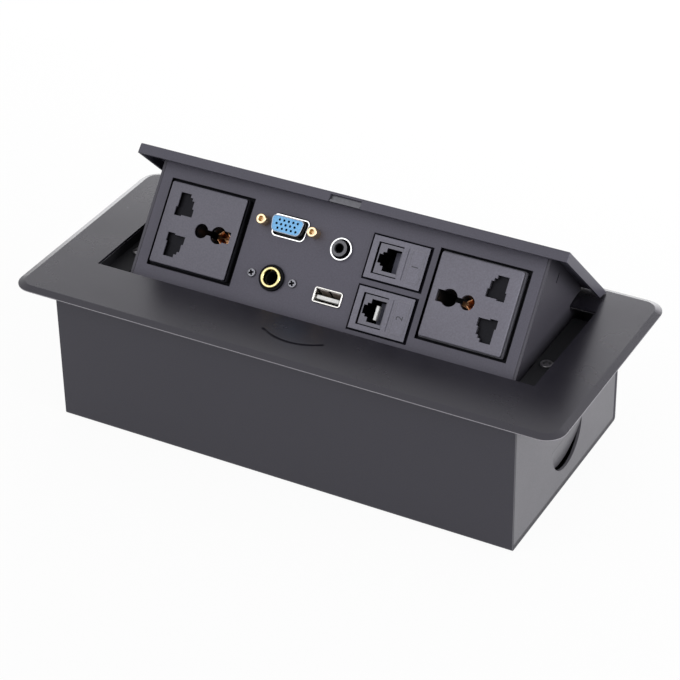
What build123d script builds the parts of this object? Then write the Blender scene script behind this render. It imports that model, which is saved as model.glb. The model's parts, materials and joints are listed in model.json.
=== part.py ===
from build123d import *
from math import asin, atan2, cos, degrees, hypot, radians, sin, tan
import os

os.makedirs("parts", exist_ok=True)

# Pop up desk socket in millimetres. X runs along the unit, -Y is the front and Z is up.
# The unit is drawn open, the way it stands in use. The pieces of the tilting unit are drawn
# with the lid shut and level, and are then turned up about the pivot.
# The outlets set the size of the panel, the panel sets the side plates and the opening, and
# the opening sets the box. What is left over goes to the borders of the frame.

quarter_turn = 90.0
bite = 0.2

# Top frame that lies on the desk
frame_length = 259.0
frame_depth = 115.2
unit_height = 64.8
frame_sheet = 1.6
rim_run = 3.1
rim_drop = 1.2
corner_radius = 9.0
rebate_depth = 0.3
rebate_gap = 0.05

# Recess under the opening, with a ledge on three sides
recess_drop = 6.0
recess_sheet = 1.5
end_ledge = 10.3
front_ledge = 4.4

# Curved finger groove in the front border
groove_half_span = 14.2
groove_sag = 4.5
groove_place_share = 0.46
groove_width = 1.4
groove_depth = 0.7

# Box that hangs in the cut-out of the desk
box_end_reach = 4.3
box_front_overhang = 4.85
box_rear_overhang = 2.85
box_sheet = 1.2
box_bend = 1.6
box_seam = 0.2
front_lip_share = 0.315
rear_lip_share = 0.2427
lip_half_share = 0.7326
end_foot = 8.0
end_foot_half_share = 0.28

# Pressed knock-out and small hole in each end plate
knockout_radius = 14.9
knockout_shift = -0.2
knockout_height_share = 0.3845
knockout_fold_rise = 1.2
knockout_angle = 10.5
shear_gap = 0.25
end_hole_radius = 4.0
end_hole_shift = 4.2
end_hole_drop = 5.4

# Brackets that carry the box from the ledges
bracket_sheet = 1.2
bracket_half_width = 12.0
bracket_drop = 8.2
ledge_screw_share = 0.4757
ledge_screw_buffer_gap = 5.1
ledge_screw_head_radius = 2.75
ledge_screw_head_height = 1.1
ledge_screw_shank_radius = 1.45
ledge_screw_shank_length = 7.5
ledge_screw_gap = 0.25
nut_radius = 3.0
nut_height = 3.0
nut_thread_gap = 0.05
rivet_radius = 1.5
rivet_head_radius = 2.3
rivet_head_height = 0.8
rivet_reach = 7.6
rivet_gap = 0.05

# Stop of the raised unit
buffer_height = 1.5
buffer_width = 3.7
buffer_length = 6.0
buffer_side_gap = 0.2
stop_gap = 0.2
stop_ear_reach = 4.3
stop_ear_edge_gap = 1.617

# Lid
lid_side_gap = 1.975
lid_front_gap = 1.0
lid_back_gap = 2.25
lid_sheet = 1.5
lid_flange = 4.6
lid_edge = 0.7
lid_rear_gap = 0.64
lid_spare = 4.0
notch_length = 15.0
notch_top = 1.2
striker_half = 9.5
striker_sheet = 1.0
striker_lip_half = 7.2
striker_lip_reach = 1.25
striker_low = 0.2

# Pivot and opening angle
pivot_drop = 21.9
pivot_set_back = 7.73
raise_angle = 45.0

# Front panel, leaning back from the lid
panel_lean = 5.7
panel_sheet = 1.2
panel_end_margin = 4.91
panel_foot_margin = 3.1
panel_ledge_gap = 2.318
panel_top_gap = 0.25
panel_seam = 0.15
panel_top_lip = 9.0
panel_lip_inset = 0.72
panel_lip_end = 2.0

# Side plates of the tilting unit
side_sheet = 1.2
side_run_gap = 1.44
side_heel_lap = 6.0
side_crown_lap = 4.6
side_arm_shares = (-0.8207, -0.7927)
side_neck_shares = (-0.9756, 1.7073)
side_lip = 8.0
side_lip_gap = 1.0
side_slot_set_back = 14.32
side_slot_drop = 3.3
side_slot_length = 4.7
side_slot_width = 1.0

# Room that the tilting unit leaves for the rear border of the frame
relief_gap = 0.42
relief_side_gap = 0.6
relief_early_angle = 4.4
relief_late_angle = 1.2

# Rear cover of the tilting unit
cover_sheet = 1.0
cover_border_gap = 2.515
cover_wire_room = 6.1755
cover_front_gap = 1.56
cover_foot_inset = 3.5
cover_heel_share = 0.3915
cover_top_gap = 1.3
cover_end_gap = 0.1
cover_exit_half = 20.0
cover_exit_rise = 6.0
cover_exit_height = 10.0
cover_tab_half = 4.5
cover_tab_inset = 6.5
cover_tab_rise = 6.43
cover_screw_radius = 1.45
cover_screw_gap = 0.1
cover_screw_head_radius = 2.6
cover_screw_head_height = 1.1
cover_screw_length = 5.0

# Pivot pins with bushes and clips
pin_radius = 3.0
pin_end_reach = 2.76
pin_collar_gap = 0.25
pin_collar_width = 1.5
pin_tail_step = 0.6
pin_tail_gap = 0.05
pin_tail_head_lap = 1.0
pin_tail_head_height = 0.6
clip_lap = 2.0
clip_width = 0.8
clip_gap = 0.7
bush_wall = 1.0
bush_seat_gap = 0.03
bush_flange_lap = 1.5
bush_flange_width = 1.0
pivot_run_gap = 0.05
boss_rim = 0.4
boss_wall_gap = 0.62

# Rotary damper on the left pin
damper_over_boss = 0.2
damper_wall = 2.65
damper_length = 8.4
damper_ear_width = 2.0
damper_ear_half = 4.0
damper_ear_reach = 14.0
rotor_gap = 0.2
rotor_pin_gap = 0.3
rotor_collar_gap = 0.4
rotor_bush_gap = 0.14
rotor_disc_lap = 0.3
rotor_disc_width = 1.8
rotor_disc_gap = 0.4
peg_radius = 1.0
peg_bush_gap = 0.2
peg_gap = 0.1

# Torsion spring round the right pin
coil_pin_gap = 1.75
coil_wire_radius = 0.5
coil_pitch = 1.5
coil_bush_gap = 1.04
coil_collar_gap = 2.3
coil_leg_length = 12.0

# Push latch under the front ledge
plunger_half = 6.0
plunger_set_back = 0.65
plunger_sheet = 2.0
plunger_rise = 1.3
plunger_foot_drop = 8.3
plunger_foot_height = 4.0
plunger_foot_reach = 2.7
latch_gap = 0.3
latch_wall = 1.0
latch_floor = 1.5
latch_ear = 8.0
latch_ear_height = 2.0
latch_screw_radius = 1.2
latch_screw_head_radius = 2.2
latch_screw_head_height = 1.4
latch_screw_grip = 1.0
latch_screw_gap = 0.05
latch_travel = 3.0
latch_coil_shut = 11.0
latch_coil_radius = 1.7
latch_coil_wire_radius = 0.25
latch_coil_pitch = 1.6
latch_coil_inset = 0.3

# Grommet in the back wall
grommet_x_share = -0.5495
grommet_rise = 22.0
grommet_hole_radius = 8.0
grommet_seat_gap = 0.05
grommet_wall = 2.5
grommet_lap = 2.0
grommet_flange = 2.0

# Universal sockets
socket_hole_width = 42.2
socket_hole_height = 39.7
socket_drop_share = 0.5118
socket_column_gap = 2.7
moat_side = 2.3
moat_end = 1.55
socket_face_raise = 2.9
socket_face_top = 2.0
socket_skirt = 1.5
socket_face_edge = 0.5
moat_depth = 2.5
moat_floor = 1.5
surround_lap = 1.2
surround_gap = 0.1
socket_back_depth = 28.0
socket_back_side = 1.1
socket_back_end = 0.85
socket_well = 20.0
well_margin = 0.4
small_earth_share = -0.0878
small_earth_radius = 3.25
large_earth_share = -0.5372
large_earth_radius = 3.85
earth_neck = 2.3
earth_blade_reach = 5.8
earth_blade = 5.2

# Corners of a line or neutral opening, as shares of half the face's width and height
pin_slot_shares = [
    (0.4415, 0.7705),
    (0.7074, 0.7923),
    (0.7606, 0.388),
    (0.7819, 0.388),
    (0.7766, 0.2186),
    (0.5851, 0.2186),
    (0.5585, 0.2514),
    (0.2979, 0.2404),
    (0.2979, 0.4044),
    (0.3404, 0.5902),
]

# Wells behind those openings and the shutter over them, in the same shares
pin_well_x_shares = (0.2766, 0.8032)
pin_well_y_shares = (0.2842, 0.8142)
shutter_x_shares = (0.2713, 0.8085)
shutter_y_shares = (0.1967, 0.8525)
shutter_bridge_shares = (0.6383, 0.8511)
shutter_sheet = 1.5
shutter_gap = 0.2
shutter_bed = 0.3

# Contacts inside a socket
contact_sheet = 0.8
contact_apart = 4.2
contact_width = 6.0
contact_x_share = 0.5532
contact_y_share = 0.5246
contact_foot_gap = 0.1
contact_top_gap = 5.9
earth_tube_wall = 0.6
earth_tube_gap = 0.2
earth_tube_end_gap = 1.1
earth_link = 3.0
earth_link_sheet = 1.0

# Middle column with the small jack above and the USB outlet below
column_x = 1.5
column_gap = 4.0
small_jack_shift = -0.1
small_jack_drop_share = 0.3636
usb_drop_share = 0.7491

# VGA outlet
vga_column_gap = 3.0
vga_socket_gap = 4.4
vga_drop_share = 0.2982
vga_width = 16.9
vga_height = 8.6
vga_slant = 1.5
vga_corner = 2.2
vga_shell_sheet = 0.6
vga_skirt = 0.9
vga_skirt_spread = 0.5
vga_reach = 4.3
vga_flange = 1.0
vga_flange_end = 2.9
vga_flange_lap = 1.95
vga_nut_radius = 2.75
vga_nut_gap = 0.8
vga_nut_sides = 6
vga_nut_height = 4.9
vga_thread_radius = 1.4
vga_thread_depth = 4.0
vga_nut_shank_radius = 1.4
vga_nut_shank = 2.6
vga_insert_gap = 0.05
vga_hole_radius = 0.55
vga_hole_depth = 3.0
vga_column_share = 0.1355
vga_row_share = 0.2302
vga_row_shift_share = 0.4585
vga_columns = 5
vga_rows = 3
vga_back_side = 3.4
vga_back_end = 0.75
vga_back_depth = 9.0
vga_panel_gap = 0.15

# Large audio jack
large_jack_shift = -1.3
large_jack_drop_share = 0.72
large_collar_radius = 5.45
large_collar_raise = 1.6
large_collar_wall = 0.65
large_ring_bore = 3.22
large_ring_raise = 2.4
large_body_flange_end = 3.48
large_body_flange_height = 14.0
large_body_flange = 2.2
large_body_wall = 4.28
large_body_depth = 24.0
large_bore_depth = 20.0
large_screw_gap = 2.67
large_screw_head_radius = 1.9
large_screw_head_height = 1.0
large_screw_shank_radius = 1.0
large_screw_shank = 3.0

# Small audio jack
small_ring_wall = 1.5
small_ring_bore = 3.55
small_ring_raise = 1.5
small_nose_gap = 0.05
small_nose_raise = 3.3
small_bore_radius = 1.8
small_bore_depth = 14.0
small_body_size = 12.0
small_body_depth = 16.0

# USB outlet
usb_width = 12.8
usb_height = 6.2
usb_wall = 0.45
usb_rim_raise = 0.8
usb_depth = 14.0
usb_corner = 0.5
usb_tongue_inset = 1.0
usb_tongue = 1.8
usb_tongue_low = 0.35
usb_tongue_front = 0.6
usb_body_side = 1.6
usb_body_end = 1.4
usb_body_floor = 2.0
usb_gap = 0.1

# Two data outlets, one above the other
data_hole_width = 28.5
data_hole_height = 20.2
data_top_margin = 9.3
data_bridge = 2.2
data_face_side = 1.15
data_face_end = 0.85
data_face_raise = 1.0
data_carrier_top = 0.4
data_carrier_side = 0.75
data_carrier_end = 0.1
data_carrier_lap = 1.2
data_gap = 0.1
window_line = 0.5
window_wide_line = 1.0
nose_raise = 0.8
port_depth = 13.0
jack_back_depth = 17.0
face_line_width = 0.5
face_line_depth = 0.3
wire_count = 8
wire_pitch_share = 0.204
wire_size = 0.4
wire_low = 11.8
wire_high = 2.3

# Window, port and back of a data outlet, as shares of half the face's width and height
window_x_shares = (-0.7901, 0.1183)
window_y_share = 0.7535
port_x_shares = (-0.4466, 0.0763)
port_y_share = 0.5405
step_x_share = -0.5611
step_y_share = 0.3297
clip_x_share = -0.6756
clip_y_share = 0.2108
jack_back_x_shares = (-0.7786, 0.3053)
jack_back_y_share = 0.8216
face_line_share = 0.2824

# Small shares used for screw heads
recess_span_share = 1.3
recess_width_share = 0.34
recess_depth_share = 0.6
dome_share = 0.45

# Outlets, worked out from the middle of the panel outwards
usb_body_width = usb_width + 2 * usb_body_side
usb_body_height = usb_height + 2 * usb_body_end
usb_x = column_x
data_x = column_x + usb_body_width / 2 + column_gap + data_hole_width / 2
data_face_width = data_hole_width - 2 * data_face_side
data_face_height = data_hole_height - 2 * data_face_end
data_half = data_face_width / 2
data_high = data_face_height / 2
data_spacing = data_hole_height + data_bridge
data_drop = data_top_margin + data_hole_height / 2
vga_screw_offset = vga_width / 2 + vga_skirt_spread + vga_nut_radius + vga_nut_gap
vga_flange_width = 2 * (vga_screw_offset + vga_flange_end)
vga_flange_height = vga_height + 2 * vga_flange_lap
vga_x = column_x - usb_body_width / 2 - vga_column_gap - vga_flange_width / 2
vga_column_pitch = vga_width * vga_column_share
vga_row_pitch = vga_height * vga_row_share
vga_row_shift = vga_column_pitch * vga_row_shift_share
large_jack_x = vga_x + large_jack_shift
large_ring_radius = large_collar_radius - large_collar_wall
large_screw_offset = large_collar_radius + large_screw_head_radius + large_screw_gap
large_body_radius = large_ring_bore + large_body_wall
small_jack_x = column_x + small_jack_shift
small_ring_radius = small_ring_bore + small_ring_wall
small_nose_radius = small_ring_bore - small_nose_gap
right_reach = data_x + data_hole_width / 2 + socket_column_gap
left_reach = vga_flange_width / 2 + vga_socket_gap - vga_x
socket_x = max(right_reach, left_reach) + socket_hole_width / 2
socket_face_width = socket_hole_width - 2 * moat_side
socket_face_height = socket_hole_height - 2 * moat_end
face_half = socket_face_width / 2
face_high = socket_face_height / 2
socket_back_width = socket_hole_width - 2 * socket_back_side
socket_back_height = socket_hole_height - 2 * socket_back_end
small_earth_x = face_half * small_earth_share
large_earth_x = face_half * large_earth_share
earth_blade_end = large_earth_x - earth_blade_reach
surround_back = -moat_depth - moat_floor
panel_half = socket_x + socket_hole_width / 2 + panel_end_margin
panel_length = data_drop + data_spacing + data_hole_height / 2 + panel_foot_margin
panel_back = -panel_sheet
socket_drop = panel_length * socket_drop_share
vga_drop = panel_length * vga_drop_share
large_jack_drop = panel_length * large_jack_drop_share
small_jack_drop = panel_length * small_jack_drop_share
usb_drop = panel_length * usb_drop_share

# Side plates, opening and box, worked out from the panel's half length
side_inner_x = panel_half + panel_seam
side_face_x = side_inner_x + side_sheet
ledge_inner_half = side_face_x + side_run_gap
opening_half = ledge_inner_half + end_ledge
lid_half = opening_half - lid_side_gap
box_half = opening_half + box_end_reach
end_inner_x = box_half - box_sheet
frame_half = frame_length / 2

# Heights, worked out downwards from the top of the frame
frame_under = unit_height - frame_sheet
seat_z = frame_under + rebate_depth
ledge_top = unit_height - recess_drop
ledge_under = ledge_top - recess_sheet
lid_under = unit_height - lid_sheet
lid_low = unit_height - lid_flange
bracket_under = ledge_under - bracket_sheet
bracket_low_z = bracket_under - bracket_drop
rivet_z = (bracket_low_z + bracket_under) / 2
pivot_z = unit_height - pivot_drop

# Round pieces on the pivot, from the pin outwards
bush_bore_radius = pin_radius + pivot_run_gap
bush_radius = pin_radius + bush_wall
bush_flange_radius = bush_radius + bush_flange_lap
clip_radius = pin_radius + clip_lap
pin_tail_radius = pin_radius - pin_tail_step
pin_tail_head_radius = pin_tail_radius + pin_tail_head_lap
peg_offset = bush_flange_radius + peg_bush_gap + peg_radius
rotor_disc_radius = peg_offset + peg_radius + rotor_disc_lap
boss_radius = peg_offset + peg_radius + peg_gap + boss_rim
damper_radius = boss_radius + damper_over_boss
damper_bore_radius = damper_radius - damper_wall
rotor_radius = damper_bore_radius - rotor_gap
rotor_bore_radius = pin_radius + rotor_pin_gap
pin_collar_radius = damper_bore_radius - pin_collar_gap
coil_radius = pin_radius + coil_pin_gap
pin_end_x = side_inner_x - pin_end_reach
collar_x = end_inner_x - pin_collar_width
bush_end_x = side_face_x + bush_flange_width
damper_end_x = end_inner_x - damper_length
rotor_outer_x = collar_x - rotor_collar_gap
rotor_inner_x = bush_end_x + rotor_bush_gap
coil_start_x = bush_end_x + coil_bush_gap
coil_length = collar_x - coil_collar_gap - coil_start_x

# Depths, worked out forwards from the back of the box: pivot, rear cover, sockets, panel
frame_front = -frame_depth / 2
frame_back = frame_depth / 2
box_front = frame_front + box_front_overhang
box_back = frame_back - box_rear_overhang
box_middle = (box_front + box_back) / 2
box_front_inner = box_front + box_sheet
box_back_inner = box_back - box_sheet
pivot_y = box_back_inner - boss_wall_gap - boss_radius
opening_rear = pivot_y - pivot_set_back
lean_sin = sin(radians(panel_lean))
lean_cos = cos(radians(panel_lean))
raise_sin = sin(radians(raise_angle))
raise_cos = cos(radians(raise_angle))
raise_slope = tan(radians(raise_angle))
cover_back = raise_cos * (pivot_set_back + raise_slope * pivot_drop + cover_border_gap)
cover_heel_y = pivot_y - cover_back
socket_low_drop = socket_drop + socket_back_height / 2
socket_rear_y = cover_heel_y - cover_wire_room
panel_top_y = socket_rear_y - socket_low_drop * lean_sin - socket_back_depth * lean_cos
panel_foot_y = panel_top_y + panel_length * lean_sin
panel_foot_z = lid_under - panel_length * lean_cos
open_foot_y = pivot_y + raise_cos * (panel_foot_y - pivot_y) + raise_sin * (panel_foot_z - pivot_z)
open_foot_z = pivot_z + raise_cos * (panel_foot_z - pivot_z) - raise_sin * (panel_foot_y - pivot_y)
ledge_inner_front = open_foot_y - panel_ledge_gap
opening_front = ledge_inner_front - front_ledge
front_border = opening_front - frame_front
rear_border = frame_back - opening_rear
lid_front = opening_front + lid_front_gap
lid_rear = opening_rear - lid_back_gap
side_foot_y = cover_heel_y - cover_foot_inset
side_heel_y = cover_heel_y + side_heel_lap
side_crown_y = cover_heel_y + side_crown_lap
side_lip_front = panel_top_y + panel_lip_inset + panel_top_lip + side_lip_gap
side_lip_rear = cover_heel_y
side_slot_y = panel_top_y + side_slot_set_back
side_slot_high = lid_under - side_slot_drop
side_slot_low = side_slot_high - side_slot_length
cover_front_y = panel_foot_y + cover_front_gap
cover_heel_z = panel_foot_z + cover_heel_share * (lid_under - panel_foot_z)
cover_top_z = lid_under - cover_top_gap
cover_exit_low = cover_heel_z + cover_exit_rise
cover_exit_high = cover_exit_low + cover_exit_height
cover_tab_y = side_foot_y - cover_tab_inset
cover_tab_z = panel_foot_z + cover_tab_rise
cover_screw_hole = cover_screw_radius + cover_screw_gap

# Relief for the rear border of the frame
pivot_rise = frame_under - pivot_z
relief_inner = pivot_rise - relief_gap
relief_outer = hypot(pivot_set_back, pivot_drop) + relief_gap
relief_first = degrees(atan2(pivot_drop, -pivot_set_back)) - relief_early_angle
relief_last = degrees(atan2(pivot_rise, -pivot_set_back)) + raise_angle + relief_late_angle

# Stop ears on the raised side plates, the buffers over them and the brackets round those
ear_top = bracket_under - buffer_height - stop_gap
ear_low = ear_top - side_sheet
ear_front = open_foot_y + (open_foot_z - ear_low) / raise_slope + stop_ear_edge_gap
buffer_rear = ear_front + buffer_length
ledge_screw_x = ledge_inner_half + end_ledge * ledge_screw_share
ledge_screw_y = buffer_rear + ledge_screw_buffer_gap
ledge_screw_clear_radius = ledge_screw_shank_radius + ledge_screw_gap
nut_thread_radius = ledge_screw_shank_radius + nut_thread_gap
bracket_front = ledge_screw_y - bracket_half_width
bracket_rear = ledge_screw_y + bracket_half_width
rivet_front_y = ledge_screw_y - rivet_reach
rivet_rear_y = ledge_screw_y + rivet_reach

# Latch under the front ledge
plunger_front = opening_front + plunger_set_back
plunger_rear = plunger_front + plunger_sheet
plunger_top = ledge_top + plunger_rise
plunger_foot_front = plunger_front - plunger_foot_reach
plunger_foot_top = ledge_under - plunger_foot_drop
plunger_foot_low = plunger_foot_top - plunger_foot_height
latch_floor_z = plunger_foot_low - latch_coil_shut - latch_travel
latch_cavity_front = plunger_foot_front - latch_gap
latch_cavity_rear = plunger_rear + latch_gap
latch_front = latch_cavity_front - latch_wall
latch_rear = latch_cavity_rear + latch_wall
latch_half = plunger_half + latch_gap + latch_wall
latch_ear_half = latch_half + latch_ear
latch_screw_x = latch_half + latch_ear / 2
latch_screw_y = (latch_front + latch_rear) / 2

# End plates and grommet
knockout_y = box_middle + knockout_shift
knockout_z = frame_under * knockout_height_share
knockout_fold_z = knockout_z + knockout_fold_rise
end_hole_y = box_middle + end_hole_shift
end_hole_z = bracket_low_z - end_hole_drop
end_foot_half = (box_back - box_front) * end_foot_half_share
grommet_x = box_half * grommet_x_share
grommet_radius = grommet_hole_radius - grommet_seat_gap
grommet_bore_radius = grommet_hole_radius - grommet_wall
grommet_flange_radius = grommet_hole_radius + grommet_lap

# Corners of the side plates near the pivot
side_heel_z = cover_heel_z
side_arm_y = pivot_y + boss_radius * side_arm_shares[0]
side_arm_z = pivot_z + boss_radius * side_arm_shares[1]
side_neck_y = pivot_y + boss_radius * side_neck_shares[0]
side_neck_z = pivot_z + boss_radius * side_neck_shares[1]

# Levels inside a socket, measured out of the panel
shutter_high = socket_face_raise - socket_face_top - shutter_gap
shutter_low = shutter_high - shutter_sheet
well_high = shutter_low - shutter_bed
well_low = well_high - socket_well
contact_low = well_low + contact_foot_gap
contact_high = well_high - contact_top_gap
earth_tube_low = well_low + earth_tube_end_gap
earth_tube_high = well_high - earth_tube_end_gap
contact_x = face_half * contact_x_share
contact_y = face_high * contact_y_share

# Window and port of a data outlet
window_left = data_half * window_x_shares[0]
window_right = data_half * window_x_shares[1]
window_high = data_high * window_y_share
port_left = data_half * port_x_shares[0]
port_right = data_half * port_x_shares[1]
port_high = data_high * port_y_share
step_left = data_half * step_x_share
step_high = data_high * step_y_share
clip_left = data_half * clip_x_share
clip_high = data_high * clip_y_share
jack_back_left = data_half * jack_back_x_shares[0]
jack_back_right = data_half * jack_back_x_shares[1]
jack_back_high = data_high * jack_back_y_share
face_line_x = data_half * face_line_share
wire_pitch = port_high * wire_pitch_share

raise_move = Pos(0, pivot_y, pivot_z) * Rot(-raise_angle, 0, 0) * Pos(0, -pivot_y, -pivot_z)
panel_place = Plane(
    origin=(0, panel_top_y, lid_under),
    x_dir=(1, 0, 0),
    z_dir=(0, -lean_cos, -lean_sin),
).location


def raised(shape):
    """Turn a piece of the shut unit up to where it stands open."""
    return raise_move * shape


def on_panel(shape):
    """Put a piece drawn flat on the panel (Z out of the panel) in its open place."""
    return raise_move * panel_place * shape


def block(x0, x1, y0, y1, z0, z1):
    """Straight block between three pairs of planes."""
    middle = Pos((x0 + x1) / 2, (y0 + y1) / 2, (z0 + z1) / 2)
    return middle * Box(x1 - x0, y1 - y0, z1 - z0)


def rod_z(x, y, z0, z1, radius):
    """Round rod along Z."""
    return Pos(x, y, (z0 + z1) / 2) * Cylinder(radius, z1 - z0)


def rod_x(x0, x1, y, z, radius):
    """Round rod along X."""
    return Pos((x0 + x1) / 2, y, z) * Rot(0, quarter_turn, 0) * Cylinder(radius, x1 - x0)


def rod_y(x, y0, y1, z, radius):
    """Round rod along Y."""
    return Pos(x, (y0 + y1) / 2, z) * Rot(quarter_turn, 0, 0) * Cylinder(radius, y1 - y0)


def side_profile(points, x0, x1):
    """Outline in Y and Z carried along X."""
    return extrude(Plane.YZ.offset(x0) * Polygon(*points, align=None), amount=x1 - x0)


def slab(x, drop, width, height, z0, z1):
    """Rectangular piece on the panel."""
    return Pos(x, -drop, (z0 + z1) / 2) * Box(width, height, z1 - z0)


def cross_screw(head_radius, head_height, shank_radius, shank_length):
    """Screw with a domed cross head, its head seat at Z 0."""
    head = rod_z(0, 0, 0, head_height, head_radius)
    head = fillet(head.edges().sort_by(Axis.Z)[-1], head_height * dome_share)
    span = head_radius * recess_span_share
    wide = head_radius * recess_width_share
    deep = head_height * recess_depth_share
    arm = Pos(0, 0, head_height) * Box(span, wide, deep * 2)
    head = head - arm - Rot(0, 0, quarter_turn) * arm
    return head + rod_z(0, 0, -shank_length, 0, shank_radius)


def coil(radius, wire_radius, pitch, height):
    """Round wire wound about Z, from Z 0 up."""
    path = Helix(pitch=pitch, height=height, radius=radius)
    start = Plane(origin=path @ 0, z_dir=path % 0)
    return sweep(start * Circle(wire_radius), path=path)


def both_sides(shape):
    """A piece of the right end with its mirror image at the left end."""
    return Compound([shape, mirror(shape, about=Plane.YZ)])


def make_groove():
    radius = (groove_half_span**2 + groove_sag**2) / (2 * groove_sag)
    half_angle = asin(groove_half_span / radius)
    ring = Circle(radius + groove_width / 2) - Circle(radius - groove_width / 2)
    reach = radius * 2
    wedge = Polygon(
        (0, 0),
        (-reach * sin(half_angle), -reach * cos(half_angle)),
        (reach * sin(half_angle), -reach * cos(half_angle)),
        align=None,
    )
    face = ring & wedge
    for side in (-1, 1):
        end = Pos(side * radius * sin(half_angle), -radius * cos(half_angle))
        face = face + end * Circle(groove_width / 2)
    set_back = front_border * groove_place_share
    base = Pos(0, frame_front + set_back + radius, unit_height - groove_depth)
    return base * extrude(face, amount=groove_depth)


def make_top_frame():
    outline = RectangleRounded(frame_length, frame_depth, corner_radius)
    plate = Pos(0, 0, frame_under) * extrude(outline, amount=frame_sheet)
    top_face = plate.faces().sort_by(Axis.Z)[-1]
    plate = chamfer(top_face.edges(), rim_run, rim_drop, reference=top_face)
    plate -= block(-opening_half, opening_half, opening_front, opening_rear, frame_under, unit_height)
    rebate_half = box_half + rebate_gap
    rebate_front = box_front - rebate_gap
    rebate_back = box_back + rebate_gap
    plate -= block(-rebate_half, rebate_half, rebate_front, rebate_back, frame_under, seat_z)
    return plate - make_groove()


def make_recess_wall():
    """Strip bent round three sides of the opening."""
    outer_half = opening_half + recess_sheet
    outer_front = opening_front - recess_sheet
    wall = block(-outer_half, outer_half, outer_front, opening_rear, ledge_top, seat_z)
    return wall - block(-opening_half, opening_half, opening_front, opening_rear, ledge_top, seat_z)


def make_recess_ledge():
    """Flat ledge under that strip."""
    outer_half = opening_half + recess_sheet
    outer_front = opening_front - recess_sheet
    ledge = block(-outer_half, outer_half, outer_front, opening_rear, ledge_under, ledge_top)
    ledge -= block(
        -ledge_inner_half, ledge_inner_half, ledge_inner_front, opening_rear, ledge_under, ledge_top
    )
    slot_half = plunger_half + latch_gap
    ledge -= block(-slot_half, slot_half, plunger_front - latch_gap, latch_cavity_rear, ledge_under, ledge_top)
    grip_top = ledge_under + latch_screw_grip
    for side in (-1, 1):
        screw_x = side * ledge_screw_x
        ledge -= rod_z(screw_x, ledge_screw_y, ledge_under, ledge_top, ledge_screw_clear_radius)
        grip_x = side * latch_screw_x
        ledge -= rod_z(grip_x, latch_screw_y, ledge_under, grip_top, latch_screw_radius + latch_screw_gap)
    return ledge


def make_box_wrap():
    wrap = block(-box_half, box_half, box_front, box_back, 0, seat_z)
    low_edges = wrap.edges().filter_by(Axis.X).group_by(Axis.Z)[0]
    wrap = fillet(low_edges, box_bend)
    wrap -= block(-box_half, box_half, box_front_inner, box_back_inner, box_sheet, seat_z)
    lip_half = box_half * lip_half_share
    lip_low = seat_z - box_sheet
    lip_end = box_front_inner + front_border * front_lip_share
    wrap += block(-lip_half, lip_half, box_front, lip_end, lip_low, seat_z)
    lip_end = box_back_inner - rear_border * rear_lip_share
    wrap += block(-lip_half, lip_half, lip_end, box_back, lip_low, seat_z)
    return wrap - rod_y(grommet_x, box_back_inner, box_back, grommet_rise, grommet_hole_radius)


def make_end_plate():
    front = box_front_inner + box_seam
    back = box_back_inner - box_seam
    plate = block(end_inner_x, box_half, front, back, box_sheet + box_seam, seat_z)
    foot_front = box_middle - end_foot_half
    foot_back = box_middle + end_foot_half
    plate += block(end_inner_x - end_foot, end_inner_x + bite, foot_front, foot_back, box_sheet, 2 * box_sheet)
    lower = block(
        end_inner_x,
        box_half,
        knockout_y - knockout_radius,
        knockout_y + knockout_radius,
        knockout_z - knockout_radius,
        knockout_fold_z,
    )
    plate -= rod_x(end_inner_x, box_half, knockout_y, knockout_z, knockout_radius) & lower
    disc_radius = knockout_radius - shear_gap
    flap = rod_x(end_inner_x, box_half, knockout_y, knockout_z, disc_radius) & lower
    fold_x = (end_inner_x + box_half) / 2
    fold = Pos(fold_x, 0, knockout_fold_z) * Rot(0, knockout_angle, 0) * Pos(-fold_x, 0, -knockout_fold_z)
    plate += fold * flap
    plate -= rod_x(end_inner_x, box_half, end_hole_y, end_hole_z, end_hole_radius)
    plate -= rod_x(end_inner_x, box_half, pivot_y, pivot_z, pin_tail_radius + pin_tail_gap)
    for rivet_y in (rivet_front_y, rivet_rear_y):
        plate -= rod_x(end_inner_x, box_half, rivet_y, rivet_z, rivet_radius + rivet_gap)
    return plate


def make_end_bracket():
    upright_x = end_inner_x - bracket_sheet
    leg = block(ledge_inner_half, end_inner_x, bracket_front, bracket_rear, bracket_under, ledge_under)
    upright = block(upright_x, end_inner_x, bracket_front, bracket_rear, bracket_low_z, ledge_under)
    nut_low = bracket_under - nut_height
    bracket = leg + upright + rod_z(ledge_screw_x, ledge_screw_y, nut_low, bracket_under, nut_radius)
    bracket -= rod_z(ledge_screw_x, ledge_screw_y, nut_low, ledge_under, nut_thread_radius)
    for rivet_y in (rivet_front_y, rivet_rear_y):
        bracket -= rod_x(upright_x, end_inner_x, rivet_y, rivet_z, rivet_radius + rivet_gap)
    return bracket


def make_ledge_screws():
    screw = cross_screw(
        ledge_screw_head_radius, ledge_screw_head_height, ledge_screw_shank_radius, ledge_screw_shank_length
    )
    return both_sides(Pos(ledge_screw_x, ledge_screw_y, ledge_top) * screw)


def make_bracket_rivets():
    inside = end_inner_x - bracket_sheet
    pair = []
    for rivet_y in (rivet_front_y, rivet_rear_y):
        rivet = rod_x(inside, box_half, rivet_y, rivet_z, rivet_radius)
        rivet += rod_x(inside - rivet_head_height, inside, rivet_y, rivet_z, rivet_head_radius)
        rivet += rod_x(box_half, box_half + rivet_head_height, rivet_y, rivet_z, rivet_head_radius)
        pair.append(rivet)
    return both_sides(Compound(pair))


def make_stop_buffers():
    near_x = ledge_inner_half + buffer_side_gap
    low = bracket_under - buffer_height
    return both_sides(block(near_x, near_x + buffer_width, ear_front, buffer_rear, low, bracket_under))


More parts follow.
